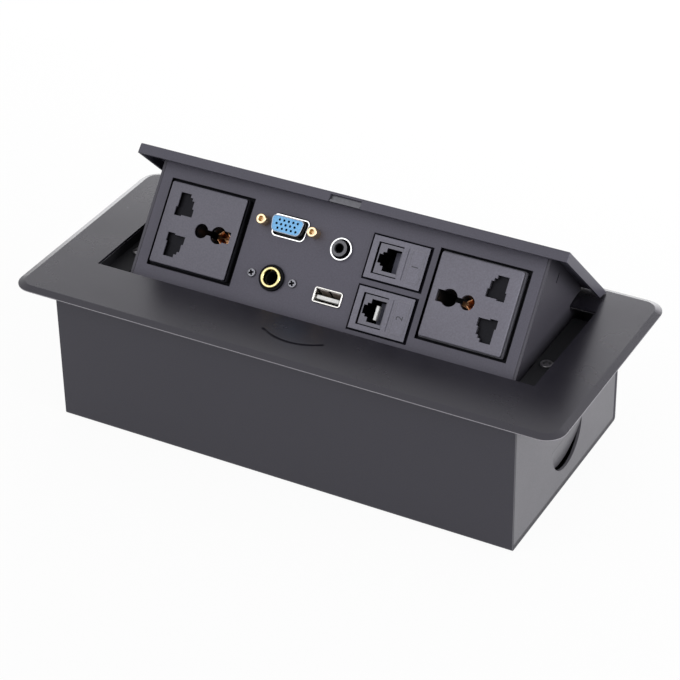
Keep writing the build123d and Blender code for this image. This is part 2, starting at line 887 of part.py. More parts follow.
def make_pivot_pins():
    pin = rod_x(pin_end_x, end_inner_x, pivot_y, pivot_z, pin_radius)
    pin += rod_x(collar_x, end_inner_x, pivot_y, pivot_z, pin_collar_radius)
    pin += rod_x(end_inner_x, box_half, pivot_y, pivot_z, pin_tail_radius)
    pin += rod_x(box_half, box_half + pin_tail_head_height, pivot_y, pivot_z, pin_tail_head_radius)
    clip_x = side_inner_x - clip_gap
    pin += rod_x(clip_x - clip_width, clip_x, pivot_y, pivot_z, clip_radius)
    return both_sides(pin)


def make_damper_body():
    body = rod_x(damper_end_x, end_inner_x, pivot_y, pivot_z, damper_radius)
    low = pivot_z - damper_ear_reach
    high = pivot_z + damper_ear_reach
    ear_x = end_inner_x - damper_ear_width
    body += block(ear_x, end_inner_x, pivot_y - damper_ear_half, pivot_y + damper_ear_half, low, high)
    body -= rod_x(damper_end_x, end_inner_x, pivot_y, pivot_z, damper_bore_radius)
    return mirror(body, about=Plane.YZ)


def make_damper_rotor():
    disc_x = damper_end_x - rotor_disc_gap
    rotor = rod_x(rotor_inner_x, rotor_outer_x, pivot_y, pivot_z, rotor_radius)
    rotor += rod_x(disc_x - rotor_disc_width, disc_x, pivot_y, pivot_z, rotor_disc_radius)
    rotor += rod_x(side_inner_x, disc_x, pivot_y - peg_offset, pivot_z, peg_radius)
    rotor -= rod_x(rotor_inner_x, rotor_outer_x, pivot_y, pivot_z, rotor_bore_radius)
    return raised(mirror(rotor, about=Plane.YZ))


def make_torsion_spring():
    wound = coil(coil_radius, coil_wire_radius, coil_pitch, coil_length)
    spring = Pos(coil_start_x, pivot_y, pivot_z) * Rot(0, quarter_turn, 0) * wound
    leg_low = pivot_z - coil_radius
    spring += rod_y(coil_start_x, pivot_y - coil_leg_length, pivot_y, leg_low, coil_wire_radius)
    return raised(spring)


def make_pivot_bushes():
    bush = rod_x(side_inner_x, side_face_x, pivot_y, pivot_z, bush_radius)
    bush += rod_x(side_face_x, bush_end_x, pivot_y, pivot_z, bush_flange_radius)
    bush -= rod_x(side_inner_x, bush_end_x, pivot_y, pivot_z, bush_bore_radius)
    return raised(both_sides(bush))


def make_latch_housing():
    body = block(-latch_half, latch_half, latch_front, latch_rear, latch_floor_z - latch_floor, ledge_under)
    low = ledge_under - latch_ear_height
    body += block(-latch_ear_half, latch_ear_half, latch_front, latch_rear, low, ledge_under)
    room = plunger_half + latch_gap
    body -= block(-room, room, latch_cavity_front, latch_cavity_rear, latch_floor_z, ledge_under)
    for side in (-1, 1):
        screw_x = side * latch_screw_x
        body -= rod_z(screw_x, latch_screw_y, low, ledge_under, latch_screw_radius + latch_screw_gap)
    return body


def make_latch_plunger():
    blade = block(-plunger_half, plunger_half, plunger_front, plunger_rear, plunger_foot_low, plunger_top)
    foot = block(
        -plunger_half, plunger_half, plunger_foot_front, plunger_rear, plunger_foot_low, plunger_foot_top
    )
    return blade + foot


def make_latch_spring():
    inset = latch_coil_inset
    height = plunger_foot_low - latch_floor_z - 2 * inset
    place = Pos(0, (plunger_foot_front + plunger_rear) / 2, latch_floor_z + inset)
    return place * coil(latch_coil_radius, latch_coil_wire_radius, latch_coil_pitch, height)


def make_latch_screws():
    x = latch_screw_x
    y = latch_screw_y
    low = ledge_under - latch_ear_height
    screw = rod_z(x, y, low, ledge_under + latch_screw_grip, latch_screw_radius)
    screw += rod_z(x, y, low - latch_screw_head_height, low, latch_screw_head_radius)
    return both_sides(screw)


def make_grommet():
    inner = box_back_inner - grommet_flange
    outer = box_back + grommet_flange
    ring = rod_y(grommet_x, box_back_inner, box_back, grommet_rise, grommet_radius)
    ring += rod_y(grommet_x, box_back, outer, grommet_rise, grommet_flange_radius)
    ring += rod_y(grommet_x, inner, box_back_inner, grommet_rise, grommet_flange_radius)
    return ring - rod_y(grommet_x, inner, outer, grommet_rise, grommet_bore_radius)


def make_relief():
    """Room swept by the rear border of the frame, drawn in the shut unit."""
    ring = Circle(relief_outer) - Circle(relief_inner)
    reach = relief_outer * 2
    middle = (relief_first + relief_last) / 2
    corners = [(0, 0)]
    for angle in (relief_first, middle, relief_last):
        corners.append((reach * cos(radians(angle)), reach * sin(radians(angle))))
    sector = ring & Polygon(*corners, align=None)
    start = Pos(-frame_half, pivot_y, pivot_z)
    return start * extrude(Plane.YZ * sector, amount=frame_length)


def make_border_room():
    """The rear border of the frame with room round it."""
    front = opening_rear - relief_side_gap
    low = frame_under - relief_side_gap
    return block(-frame_half, frame_half, front, frame_back, low, unit_height + lid_rear_gap)


def make_lid():
    rear = lid_rear + lid_spare
    pan = block(-lid_half, lid_half, lid_front, rear, lid_low, unit_height)
    top_face = pan.faces().sort_by(Axis.Z)[-1]
    rear_edge = top_face.edges().sort_by(Axis.Y)[-1]
    edges = [edge for edge in top_face.edges() if edge.center().Y < rear_edge.center().Y]
    edges = edges + list(pan.edges().filter_by(Axis.Z).group_by(Axis.Y)[0])
    pan = fillet(edges, lid_edge)
    inner = lid_half - lid_sheet
    pan -= block(-inner, inner, lid_front + lid_sheet, rear, lid_low, lid_under)
    half = notch_length / 2
    pan -= block(-half, half, lid_front, lid_front + lid_sheet, lid_low, unit_height - notch_top)
    pan = pan - make_relief()
    open_pan = raised(pan)
    floor = unit_height + lid_rear_gap
    return open_pan - block(-frame_half, frame_half, frame_front, frame_back, 0, floor)


def make_lid_striker():
    back = lid_front + lid_sheet
    low = lid_low + striker_low
    plate = block(-striker_half, striker_half, back, back + striker_sheet, low, lid_under)
    lip = block(
        -striker_lip_half, striker_lip_half, back - striker_lip_reach, back, low, low + striker_sheet
    )
    return raised(plate + lip)


def make_front_panel():
    width = 2 * panel_half
    height = panel_length - panel_top_gap
    panel = slab(0, panel_top_gap + height / 2, width, height, panel_back, 0)
    for side in (-1, 1):
        panel -= slab(side * socket_x, socket_drop, socket_hole_width, socket_hole_height, panel_back, 0)
        nut_x = vga_x + side * vga_screw_offset
        panel -= rod_z(nut_x, -vga_drop, panel_back, 0, vga_nut_shank_radius + usb_gap)
        screw_x = large_jack_x + side * large_screw_offset
        panel -= rod_z(screw_x, -large_jack_drop, panel_back, 0, large_screw_shank_radius + usb_gap)
    vga_hole = vga_outline(vga_skirt_spread + vga_panel_gap)
    panel -= Pos(vga_x, -vga_drop, panel_back) * extrude(vga_hole, amount=panel_sheet)
    panel -= rod_z(large_jack_x, -large_jack_drop, panel_back, 0, large_collar_radius + usb_gap)
    panel -= rod_z(small_jack_x, -small_jack_drop, panel_back, 0, small_nose_radius + usb_gap)
    panel -= slab(usb_x, usb_drop, usb_width + 2 * usb_gap, usb_height + 2 * usb_gap, panel_back, 0)
    for drop in (data_drop, data_drop + data_spacing):
        panel -= slab(data_x, drop, data_hole_width, data_hole_height, panel_back, 0)
    lip_front = panel_top_y + panel_lip_inset
    lip_half = side_inner_x - side_lip - panel_lip_end
    lip = block(-lip_half, lip_half, lip_front, lip_front + panel_top_lip, lid_under - panel_sheet, lid_under)
    return raised(panel_place * panel + lip)


def make_side_plate(side):
    outline = [
        (panel_top_y, lid_under),
        (panel_foot_y, panel_foot_z),
        (side_foot_y, panel_foot_z),
        (side_heel_y, side_heel_z),
        (side_arm_y, side_arm_z),
        (pivot_y, pivot_z - boss_radius),
        (pivot_y, pivot_z + boss_radius),
        (side_neck_y, side_neck_z),
        (side_crown_y, lid_under),
    ]
    plate = side_profile(outline, side_inner_x, side_face_x)
    plate += rod_x(side_inner_x, side_face_x, pivot_y, pivot_z, boss_radius)
    lip_low = lid_under - side_sheet
    plate -= rod_x(side_inner_x, side_face_x, pivot_y, pivot_z, bush_radius + bush_seat_gap)
    half_slot = side_slot_width / 2
    slot_front = side_slot_y - half_slot
    slot_rear = side_slot_y + half_slot
    plate -= block(side_inner_x, side_face_x, slot_front, slot_rear, side_slot_low, side_slot_high)
    lip_end = side_inner_x - side_lip
    plate += block(lip_end, side_inner_x + bite, side_lip_front, side_lip_rear, lip_low, lid_under)
    for hole_y, hole_z in cover_screw_places():
        plate -= rod_x(side_inner_x, side_face_x, hole_y, hole_z, cover_screw_hole)
    plate = plate - make_relief()
    if side < 0:
        plate -= rod_x(side_inner_x, side_face_x, pivot_y - peg_offset, pivot_z, peg_radius + peg_gap)
    plate = raised(plate) - make_border_room()
    ear_x = side_face_x + stop_ear_reach
    plate += block(side_face_x - bite, ear_x, ear_front, buffer_rear, ear_low, ear_top)
    if side < 0:
        return mirror(plate, about=Plane.YZ)
    return plate


def cover_screw_places():
    return [(cover_tab_y, cover_tab_z), (cover_tab_y, cover_tab_z + 2 * cover_tab_half)]


def make_rear_cover():
    low = panel_foot_z
    inner_heel = cover_heel_y - cover_sheet
    outline = [
        (cover_front_y, low),
        (side_foot_y, low),
        (cover_heel_y, cover_heel_z),
        (cover_heel_y, cover_top_z),
        (inner_heel, cover_top_z),
        (inner_heel, cover_heel_z),
        (side_foot_y - cover_sheet, low + cover_sheet),
        (cover_front_y, low + cover_sheet),
    ]
    half = side_inner_x - cover_end_gap
    cover = side_profile(outline, -half, half)
    cover -= block(
        -cover_exit_half, cover_exit_half, inner_heel, cover_heel_y, cover_exit_low, cover_exit_high
    )
    tab_high = cover_tab_z + 3 * cover_tab_half
    for side in (-1, 1):
        edges = sorted((side * (half - cover_sheet), side * half))
        tab = block(
            edges[0], edges[1], cover_tab_y - cover_tab_half, cover_tab_y + cover_tab_half, low, tab_high
        )
        for hole_y, hole_z in cover_screw_places():
            tab -= rod_x(edges[0], edges[1], hole_y, hole_z, cover_screw_hole)
        cover += tab
    return raised(cover)


def make_cover_screws():
    pair = []
    for hole_y, hole_z in cover_screw_places():
        screw = rod_x(side_face_x - cover_screw_length, side_face_x, hole_y, hole_z, cover_screw_radius)
        head_x = side_face_x + cover_screw_head_height
        screw += rod_x(side_face_x, head_x, hole_y, hole_z, cover_screw_head_radius)
        pair.append(screw)
    return raised(both_sides(Compound(pair)))


def earth_outline(margin):
    """Earth openings of a socket, all grown by a margin."""
    face = Pos(small_earth_x, 0) * Circle(small_earth_radius + margin)
    face += Pos(large_earth_x, 0) * Circle(large_earth_radius + margin)
    middle = (small_earth_x + large_earth_x) / 2
    face += Pos(middle, 0) * Rectangle(small_earth_x - large_earth_x, earth_neck + 2 * margin)
    blade_length = large_earth_x - earth_blade_end + margin
    blade_middle = large_earth_x - blade_length / 2
    return face + Pos(blade_middle, 0) * Rectangle(blade_length, earth_blade + 2 * margin)


def pin_outlines():
    """Line and neutral openings of a socket."""
    upper_points = [(face_half * x, face_high * y) for x, y in reversed(pin_slot_shares)]
    lower_points = [(face_half * x, -face_high * y) for x, y in pin_slot_shares]
    return Polygon(*upper_points, align=None) + Polygon(*lower_points, align=None)


def place_socket(side, shape):
    """Put a socket piece in place, the left one turned round."""
    turn = 0 if side > 0 else 2 * quarter_turn
    return on_panel(Pos(side * socket_x, -socket_drop, 0) * Rot(0, 0, turn) * shape)


def make_socket_surround():
    wide = socket_hole_width + 2 * surround_lap
    high = socket_hole_height + 2 * surround_lap
    ring = slab(0, 0, wide, high, surround_back, panel_back)
    gap = 2 * surround_gap
    ring -= slab(0, 0, socket_hole_width, socket_hole_height, -moat_depth, panel_back)
    return ring - slab(0, 0, socket_face_width + gap, socket_face_height + gap, surround_back, 0)


def make_socket_face():
    face = slab(0, 0, socket_face_width, socket_face_height, surround_back, socket_face_raise)
    top_face = face.faces().sort_by(Axis.Z)[-1]
    face = fillet(top_face.edges(), socket_face_edge)
    under = socket_face_raise - socket_face_top
    room_width = socket_face_width - 2 * socket_skirt
    room_height = socket_face_height - 2 * socket_skirt
    face -= slab(0, 0, room_width, room_height, surround_back, under)
    openings = pin_outlines() + earth_outline(0)
    return face - Pos(0, 0, under) * extrude(openings, amount=socket_face_top)


def make_socket_shutter():
    near_x, far_x = [face_half * share for share in shutter_x_shares]
    near_y, far_y = [face_high * share for share in shutter_y_shares]
    bridge_x, bridge_end = [face_half * share for share in shutter_bridge_shares]
    shutter = block(bridge_x, bridge_end, -far_y, far_y, shutter_low, shutter_high)
    shutter += block(near_x, far_x, near_y, far_y, shutter_low, shutter_high)
    return shutter + block(near_x, far_x, -far_y, -near_y, shutter_low, shutter_high)


def make_socket_body():
    back = -socket_back_depth
    body = slab(0, 0, socket_back_width, socket_back_height, back, surround_back)
    gap = 2 * surround_gap
    room_width = socket_face_width - 2 * socket_skirt - gap
    room_height = socket_face_height - 2 * socket_skirt - gap
    body += slab(0, 0, room_width, room_height, surround_back - bite, well_high)
    left, right = [face_half * share for share in pin_well_x_shares]
    near, far = [face_high * share for share in pin_well_y_shares]
    body -= block(left, right, near, far, well_low, well_high)
    body -= block(left, right, -far, -near, well_low, well_high)
    return body - Pos(0, 0, well_low) * extrude(earth_outline(well_margin), amount=socket_well)


def make_socket_contacts():
    """Two sprung pairs of strips, each on its own base."""
    pairs = []
    high = contact_low + contact_sheet
    for side in (-1, 1):
        y = side * contact_y
        pair = slab(contact_x, y, contact_apart, contact_width, contact_low, high)
        for leaf in (-1, 1):
            x = contact_x + leaf * contact_apart / 2
            pair += slab(x, y, contact_sheet, contact_width, contact_low, contact_high)
        pairs.append(pair)
    return Compound(pairs)


def make_earth_contact():
    contact = None
    for x, radius in ((small_earth_x, small_earth_radius), (large_earth_x, large_earth_radius)):
        outer = radius - earth_tube_gap
        tube = rod_z(x, 0, earth_tube_low, earth_tube_high, outer)
        tube -= rod_z(x, 0, earth_tube_low, earth_tube_high, outer - earth_tube_wall)
        contact = tube if contact is None else contact + tube
    middle = (small_earth_x + large_earth_x) / 2
    length = small_earth_x - large_earth_x
    link_high = earth_tube_low + earth_link_sheet
    return contact + slab(middle, 0, length, earth_link, earth_tube_low, link_high)


def vga_outline(grow):
    """Slanted outline of the VGA outlet, grown all round."""
    half_wide = vga_width / 2 + grow
    half_high = vga_height / 2 + grow
    corners = [
        (-half_wide + vga_slant, -half_high),
        (half_wide - vga_slant, -half_high),
        (half_wide, half_high),
        (-half_wide, half_high),
    ]
    outline = Polygon(*corners, align=None)
    return fillet(outline.vertices(), vga_corner)


def make_vga_shell():
    flange_low = panel_back - vga_flange
    shell = slab(0, 0, vga_flange_width, vga_flange_height, flange_low, panel_back)
    tube = extrude(vga_outline(0), amount=vga_reach - flange_low)
    shell += Pos(0, 0, flange_low) * tube
    skirt = extrude(vga_outline(vga_skirt_spread), amount=vga_skirt - panel_back)
    shell += Pos(0, 0, panel_back) * skirt
    bore = extrude(vga_outline(-vga_shell_sheet), amount=vga_reach - flange_low)
    shell -= Pos(0, 0, flange_low) * bore
    for side in (-1, 1):
        shell -= rod_z(side * vga_screw_offset, 0, flange_low, panel_back, vga_nut_shank_radius + usb_gap)
    return on_panel(Pos(vga_x, -vga_drop, 0) * shell)


def make_vga_insert():
    flange_low = panel_back - vga_flange
    body = extrude(vga_outline(-vga_shell_sheet - vga_insert_gap), amount=vga_reach - flange_low)
    insert = Pos(0, 0, flange_low) * body
    for row in range(vga_rows):
        for column in range(vga_columns):
            row_step = row - (vga_rows - 1) / 2
            column_step = column - (vga_columns - 1) / 2
            shift = -vga_row_shift / 2 if row == 1 else vga_row_shift / 2
            x = column_step * vga_column_pitch + shift
            y = row_step * vga_row_pitch
            insert -= rod_z(x, y, vga_reach - vga_hole_depth, vga_reach, vga_hole_radius)
    return on_panel(Pos(vga_x, -vga_drop, 0) * insert)


def make_vga_jackscrew(side):
    post = extrude(RegularPolygon(vga_nut_radius, vga_nut_sides), amount=vga_nut_height)
    post += rod_z(0, 0, -vga_nut_shank, 0, vga_nut_shank_radius)
    post -= rod_z(0, 0, vga_nut_height - vga_thread_depth, vga_nut_height, vga_thread_radius)
    return on_panel(Pos(vga_x + side * vga_screw_offset, -vga_drop, 0) * post)


def make_vga_body():
    top = panel_back - vga_flange
    width = vga_flange_width - 2 * vga_back_side
    height = vga_flange_height - 2 * vga_back_end
    body = slab(vga_x, vga_drop, width, height, top - vga_back_depth, top)
    for side in (-1, 1):
        low = top - vga_nut_shank
        clear = vga_nut_shank_radius + usb_gap
        body -= rod_z(vga_x + side * vga_screw_offset, -vga_drop, low, top, clear)
    return on_panel(body)


def make_large_jack_body():
    flange_low = panel_back - large_body_flange
    width = 2 * (large_screw_offset + large_body_flange_end)
    body = slab(0, 0, width, large_body_flange_height, flange_low, panel_back)
    body += rod_z(0, 0, flange_low - large_body_depth, flange_low, large_body_radius)
    body -= rod_z(0, 0, panel_back - large_bore_depth, panel_back, large_ring_bore)
    for side in (-1, 1):
        low = large_screw_shank_radius + usb_gap
        body -= rod_z(side * large_screw_offset, 0, flange_low, panel_back, low)
    return on_panel(Pos(large_jack_x, -large_jack_drop, 0) * body)


def make_large_jack_collar():
    collar = rod_z(0, 0, panel_back, large_collar_raise, large_collar_radius)
    collar -= rod_z(0, 0, panel_back, large_collar_raise, large_ring_radius)
    return on_panel(Pos(large_jack_x, -large_jack_drop, 0) * collar)


def make_large_jack_ring():
    ring = rod_z(0, 0, panel_back, large_ring_raise, large_ring_radius)
    ring = ring - rod_z(0, 0, panel_back, large_ring_raise, large_ring_bore)
    return on_panel(Pos(large_jack_x, -large_jack_drop, 0) * ring)


def make_large_jack_screws():
    screw = cross_screw(
        large_screw_head_radius, large_screw_head_height, large_screw_shank_radius, large_screw_shank
    )
    pair = []
    for side in (-1, 1):
        pair.append(Pos(large_jack_x + side * large_screw_offset, -large_jack_drop, 0) * screw)
    return on_panel(Compound(pair))


def make_small_jack_ring():
    ring = rod_z(0, 0, 0, small_ring_raise, small_ring_radius)
    ring -= rod_z(0, 0, 0, small_ring_raise, small_ring_bore)
    return on_panel(Pos(small_jack_x, -small_jack_drop, 0) * ring)


def make_small_jack_body():
    low = panel_back - small_body_depth
    body = slab(0, 0, small_body_size, small_body_size, low, panel_back)
    body += rod_z(0, 0, panel_back - bite, small_nose_raise, small_nose_radius)
    body -= rod_z(0, 0, small_nose_raise - small_bore_depth, small_nose_raise, small_bore_radius)
    return on_panel(Pos(small_jack_x, -small_jack_drop, 0) * body)


def make_usb_shell():
    outline = RectangleRounded(usb_width, usb_height, usb_corner)
    inner = Rectangle(usb_width - 2 * usb_wall, usb_height - 2 * usb_wall)
    shell = extrude(outline - inner, amount=usb_depth + usb_rim_raise)
    return on_panel(Pos(usb_x, -usb_drop, -usb_depth) * shell)


def make_usb_tongue():
    high = usb_height / 2 - usb_wall - usb_tongue_low
    middle = -high + usb_tongue / 2
    width = usb_width - 2 * usb_tongue_inset
    tongue = slab(0, -middle, width, usb_tongue, -usb_depth, -usb_tongue_front)
    return on_panel(Pos(usb_x, -usb_drop, 0) * tongue)


def make_usb_body():
    low = -usb_depth - usb_body_floor
    body = slab(0, 0, usb_body_width, usb_body_height, low, panel_back)
    hole_width = usb_width + 2 * usb_gap
    hole_height = usb_height + 2 * usb_gap
    body -= slab(0, 0, hole_width, hole_height, -usb_depth, panel_back)
    return on_panel(Pos(usb_x, -usb_drop, 0) * body)


def data_places():
    return {"upper": data_drop, "lower": data_drop + data_spacing}


def place_data(drop, shape):
    return on_panel(Pos(data_x, -drop, 0) * shape)


def make_data_face():
    face = slab(0, 0, data_face_width, data_face_height, -data_carrier_top, data_face_raise)
    half = window_high
    face -= block(window_left, window_right, -half, half, -data_carrier_top, data_face_raise)
    groove_low = data_face_raise - face_line_depth
    groove_right = face_line_x + face_line_width
    return face - block(face_line_x, groove_right, -half, half, groove_low, data_face_raise)


def make_data_jack():
    gap = 2 * data_gap
    low = panel_back - data_carrier_lap
    carrier = slab(0, 0, data_hole_width - gap, data_hole_height - gap, low, -data_carrier_top)
    carrier_width = data_hole_width + 2 * data_carrier_side
    carrier_height = data_hole_height + 2 * data_carrier_end
    carrier += slab(0, 0, carrier_width, carrier_height, low, panel_back)
    half = window_high - window_line
    nose_left = window_left + window_wide_line
    nose_right = window_right - data_gap
    nose = block(nose_left, nose_right, -half, half, -data_carrier_top - bite, nose_raise)
    half = jack_back_high
    back = block(jack_back_left, jack_back_right, -half, half, -jack_back_depth, low + bite)
    jack = carrier + nose + back
    port_low = nose_raise - port_depth
    jack -= block(port_left, port_right, -port_high, port_high, port_low, nose_raise)
    jack -= block(step_left, port_left, -step_high, step_high, port_low, nose_raise)
    return jack - block(clip_left, step_left, -clip_high, clip_high, port_low, nose_raise)


def make_data_contacts():
    wires = []
    half = wire_size / 2
    low = nose_raise - wire_low
    high = nose_raise - wire_high
    for index in range(wire_count):
        step = index - (wire_count - 1) / 2
        y = step * wire_pitch
        wires.append(block(port_right - wire_size, port_right, y - half, y + half, low, high))
    return Compound(wires)


nodes = {
    "top_frame": make_top_frame(),
    "recess_wall": make_recess_wall(),
    "recess_ledge": make_recess_ledge(),
    "box_wrap": make_box_wrap(),
    "end_plate_right": make_end_plate(),
    "end_plate_left": mirror(make_end_plate(), about=Plane.YZ),
    "end_bracket_right": make_end_bracket(),
    "end_bracket_left": mirror(make_end_bracket(), about=Plane.YZ),
    "ledge_screws": make_ledge_screws(),
    "bracket_rivets": make_bracket_rivets(),
    "stop_buffers": make_stop_buffers(),
    "pivot_pins": make_pivot_pins(),
    "damper_body": make_damper_body(),
    "latch_housing": make_latch_housing(),
    "latch_plunger": make_latch_plunger(),
    "latch_spring": make_latch_spring(),
    "latch_screws": make_latch_screws(),
    "cable_grommet": make_grommet(),
    "lid": make_lid(),
    "lid_striker": make_lid_striker(),
    "front_panel": make_front_panel(),
    "side_plate_right": make_side_plate(1),
    "side_plate_left": make_side_plate(-1),
    "rear_cover": make_rear_cover(),
    "cover_screws": make_cover_screws(),
    "pivot_bushes": make_pivot_bushes(),
    "damper_rotor": make_damper_rotor(),
    "torsion_spring": make_torsion_spring(),
    "vga_shell": make_vga_shell(),
    "vga_insert": make_vga_insert(),
    "vga_jackscrew_left": make_vga_jackscrew(-1),
    "vga_jackscrew_right": make_vga_jackscrew(1),
    "vga_body": make_vga_body(),
    "large_jack_collar": make_large_jack_collar(),
    "large_jack_ring": make_large_jack_ring(),
    "large_jack_body": make_large_jack_body(),
    "large_jack_screws": make_large_jack_screws(),
    "small_jack_ring": make_small_jack_ring(),
    "small_jack_body": make_small_jack_body(),
    "usb_shell": make_usb_shell(),
    "usb_tongue": make_usb_tongue(),
    "usb_body": make_usb_body(),
}

for end_name, side in (("left", -1), ("right", 1)):
    nodes["socket_surround_" + end_name] = place_socket(side, make_socket_surround())
    nodes["socket_face_" + end_name] = place_socket(side, make_socket_face())
    nodes["socket_shutter_" + end_name] = place_socket(side, make_socket_shutter())
    nodes["socket_body_" + end_name] = place_socket(side, make_socket_body())
    nodes["socket_contacts_" + end_name] = place_socket(side, make_socket_contacts())
    nodes["earth_contact_" + end_name] = place_socket(side, make_earth_contact())

for place_name, drop in data_places().items():
    nodes["data_face_" + place_name] = place_data(drop, make_data_face())
    nodes["data_jack_" + place_name] = place_data(drop, make_data_jack())
    nodes["data_contacts_" + place_name] = place_data(drop, make_data_contacts())

for name, shape in nodes.items():
    export_step(shape, f"parts/{name}.step")
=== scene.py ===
# %% [markdown]
# A pop up desk socket: a flanged frame lies in the desk, a folded box hangs below it, and a
# tilting unit with a lid carries the outlets. The sheet metal and the bodies of the outlets
# were made as exact solids first. This file loads and paints them. The small parts that catch
# the eye are modelled here by hand: jack rings, jackscrews, outlet shells, screws, contacts,
# the plates of the mains sockets, the cable grommet and the latch spring.

import bpy
import json
import math
from mathutils import Matrix, Vector


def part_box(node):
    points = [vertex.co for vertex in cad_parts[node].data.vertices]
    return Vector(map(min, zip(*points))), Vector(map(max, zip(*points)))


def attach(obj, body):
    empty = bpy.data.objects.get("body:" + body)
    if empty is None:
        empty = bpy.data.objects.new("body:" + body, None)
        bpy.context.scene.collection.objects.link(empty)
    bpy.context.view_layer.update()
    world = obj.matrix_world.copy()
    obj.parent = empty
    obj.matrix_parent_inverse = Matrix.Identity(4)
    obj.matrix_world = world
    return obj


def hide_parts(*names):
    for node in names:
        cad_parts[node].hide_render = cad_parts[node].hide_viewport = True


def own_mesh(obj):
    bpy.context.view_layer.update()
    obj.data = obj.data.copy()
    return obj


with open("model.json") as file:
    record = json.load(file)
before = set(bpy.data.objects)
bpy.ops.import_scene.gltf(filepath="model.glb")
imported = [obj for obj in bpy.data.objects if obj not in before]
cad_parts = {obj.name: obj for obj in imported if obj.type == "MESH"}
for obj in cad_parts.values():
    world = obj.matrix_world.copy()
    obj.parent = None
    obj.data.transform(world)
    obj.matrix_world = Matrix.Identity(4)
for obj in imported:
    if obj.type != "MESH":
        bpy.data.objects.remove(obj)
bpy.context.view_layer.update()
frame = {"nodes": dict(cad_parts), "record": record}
scene = bpy.context.scene

# %% [markdown]
# Every operator works on what is selected, and loading leaves the solids selected. So each
# step starts by letting go of everything. One helper does that, one holds a single piece, and
# one opens a mesh with only the faces that a rule picks. The rules go by a face's normal.


# %% Helpers for selecting
def let_go():
    if bpy.context.object and bpy.context.object.mode != "OBJECT":
        bpy.ops.object.mode_set(mode="OBJECT")
    bpy.ops.object.select_all(action="DESELECT")


def hold(piece):
    let_go()
    piece.select_set(True)
    bpy.context.view_layer.objects.active = piece


def open_faces(piece, rule):
    """Enters edit mode with the faces selected whose centre and normal suit the rule."""
    hold(piece)
    bpy.ops.object.mode_set(mode="EDIT")
    bpy.ops.mesh.select_mode(type="FACE")
    bpy.ops.mesh.select_all(action="DESELECT")
    bpy.ops.object.mode_set(mode="OBJECT")
    for face in piece.data.polygons:
        face.select = bool(rule(face.center, face.normal))
    bpy.ops.object.mode_set(mode="EDIT")


def close_edit():
    bpy.ops.object.mode_set(mode="OBJECT")


# %% Rules for open_faces
def all_faces(centre, normal):
    return True


def top_faces(centre, normal):
    return normal.z > 0.9


def bottom_faces(centre, normal):
    return normal.z < -0.9


def end_faces(centre, normal):
    return abs(normal.z) > 0.9


# %% [markdown]
# Pieces on the panel are easier to model lying flat, in millimetres, with the panel's face as
# the ground. One matrix then carries them up: it leans the flat drawing back, puts it under
# the shut lid and turns it open about the pivot, just as the real unit turns.

# %% Place of the open panel
MM = 0.001
pivot = Vector((0, 44.73, 42.9)) * MM
open_angle = math.radians(-45)
lean = math.radians(5.7)
shut_panel_y = -16.72 * MM
shut_panel_z = 63.3 * MM

opened = (
    Matrix.Translation(pivot) @ Matrix.Rotation(open_angle, 4, "X") @ Matrix.Translation(-pivot)
)
panel_plane = Matrix(
    (
        (1, 0, 0, 0),
        (0, -math.sin(lean), -math.cos(lean), shut_panel_y),
        (0, math.cos(lean), -math.sin(lean), shut_panel_z),
        (0, 0, 0, 1),
    )
)
on_panel = opened @ panel_plane
upright = Matrix.Identity(4)
print("panel faces", [round(v, 3) for v in on_panel.col[2][:3]])

# %% [markdown]
# Powder coat, plating and moulded plastic all have a very fine skin when seen close. One
# recipe serves them all: a noise in object space gives a slight bump and a little life in the
# colour, and a broader noise lets the roughness drift. Values that do not vary, such as the
# index of refraction, sit straight on the shader's sockets.


# %% A finish with a fine skin
def finish(
    name, colour, roughness, metallic=0.0, skin=1800.0, height=0.00002, drift=0.06, **extra
):
    """A material with grain of scale skin, bump height in metres and roughness +- drift."""
    material = bpy.data.materials.new(name)
    material.use_nodes = True
    tree = material.node_tree
    shader = tree.nodes["Principled BSDF"]
    shader.inputs["Metallic"].default_value = metallic
    for socket, value in extra.items():
        shader.inputs[socket.replace("_", " ")].default_value = value

    place = tree.nodes.new("ShaderNodeTexCoord")
    fine = tree.nodes.new("ShaderNodeTexNoise")
    fine.inputs["Scale"].default_value = skin
    fine.inputs["Detail"].default_value = 3.0
    tree.links.new(place.outputs["Object"], fine.inputs["Vector"])
    bump = tree.nodes.new("ShaderNodeBump")
    bump.inputs["Strength"].default_value = 0.35
    bump.inputs["Distance"].default_value = height
    tree.links.new(fine.outputs["Fac"], bump.inputs["Height"])
    tree.links.new(bump.outputs["Normal"], shader.inputs["Normal"])

    cloud = tree.nodes.new("ShaderNodeTexNoise")
    cloud.inputs["Scale"].default_value = 35.0
    cloud.inputs["Detail"].default_value = 4.0
    tree.links.new(place.outputs["Object"], cloud.inputs["Vector"])
    spread = tree.nodes.new("ShaderNodeMapRange")
    spread.inputs["To Min"].default_value = roughness - drift
    spread.inputs["To Max"].default_value = roughness + drift
    tree.links.new(cloud.outputs["Fac"], spread.inputs["Value"])
    tree.links.new(spread.outputs["Result"], shader.inputs["Roughness"])

    ramp = tree.nodes.new("ShaderNodeValToRGB")
    darker, lighter = 0.9, 1.1
    dark = [c * darker for c in colour]
    light = [min(1.0, c * lighter) for c in colour]
    ramp.color_ramp.elements[0].color = (*dark, 1.0)
    ramp.color_ramp.elements[1].color = (*light, 1.0)
    ramp.color_ramp.elements[0].position = 0.35
    ramp.color_ramp.elements[1].position = 0.65
    tree.links.new(fine.outputs["Fac"], ramp.inputs["Fac"])
    tree.links.new(ramp.outputs["Color"], shader.inputs["Base Color"])
    return material
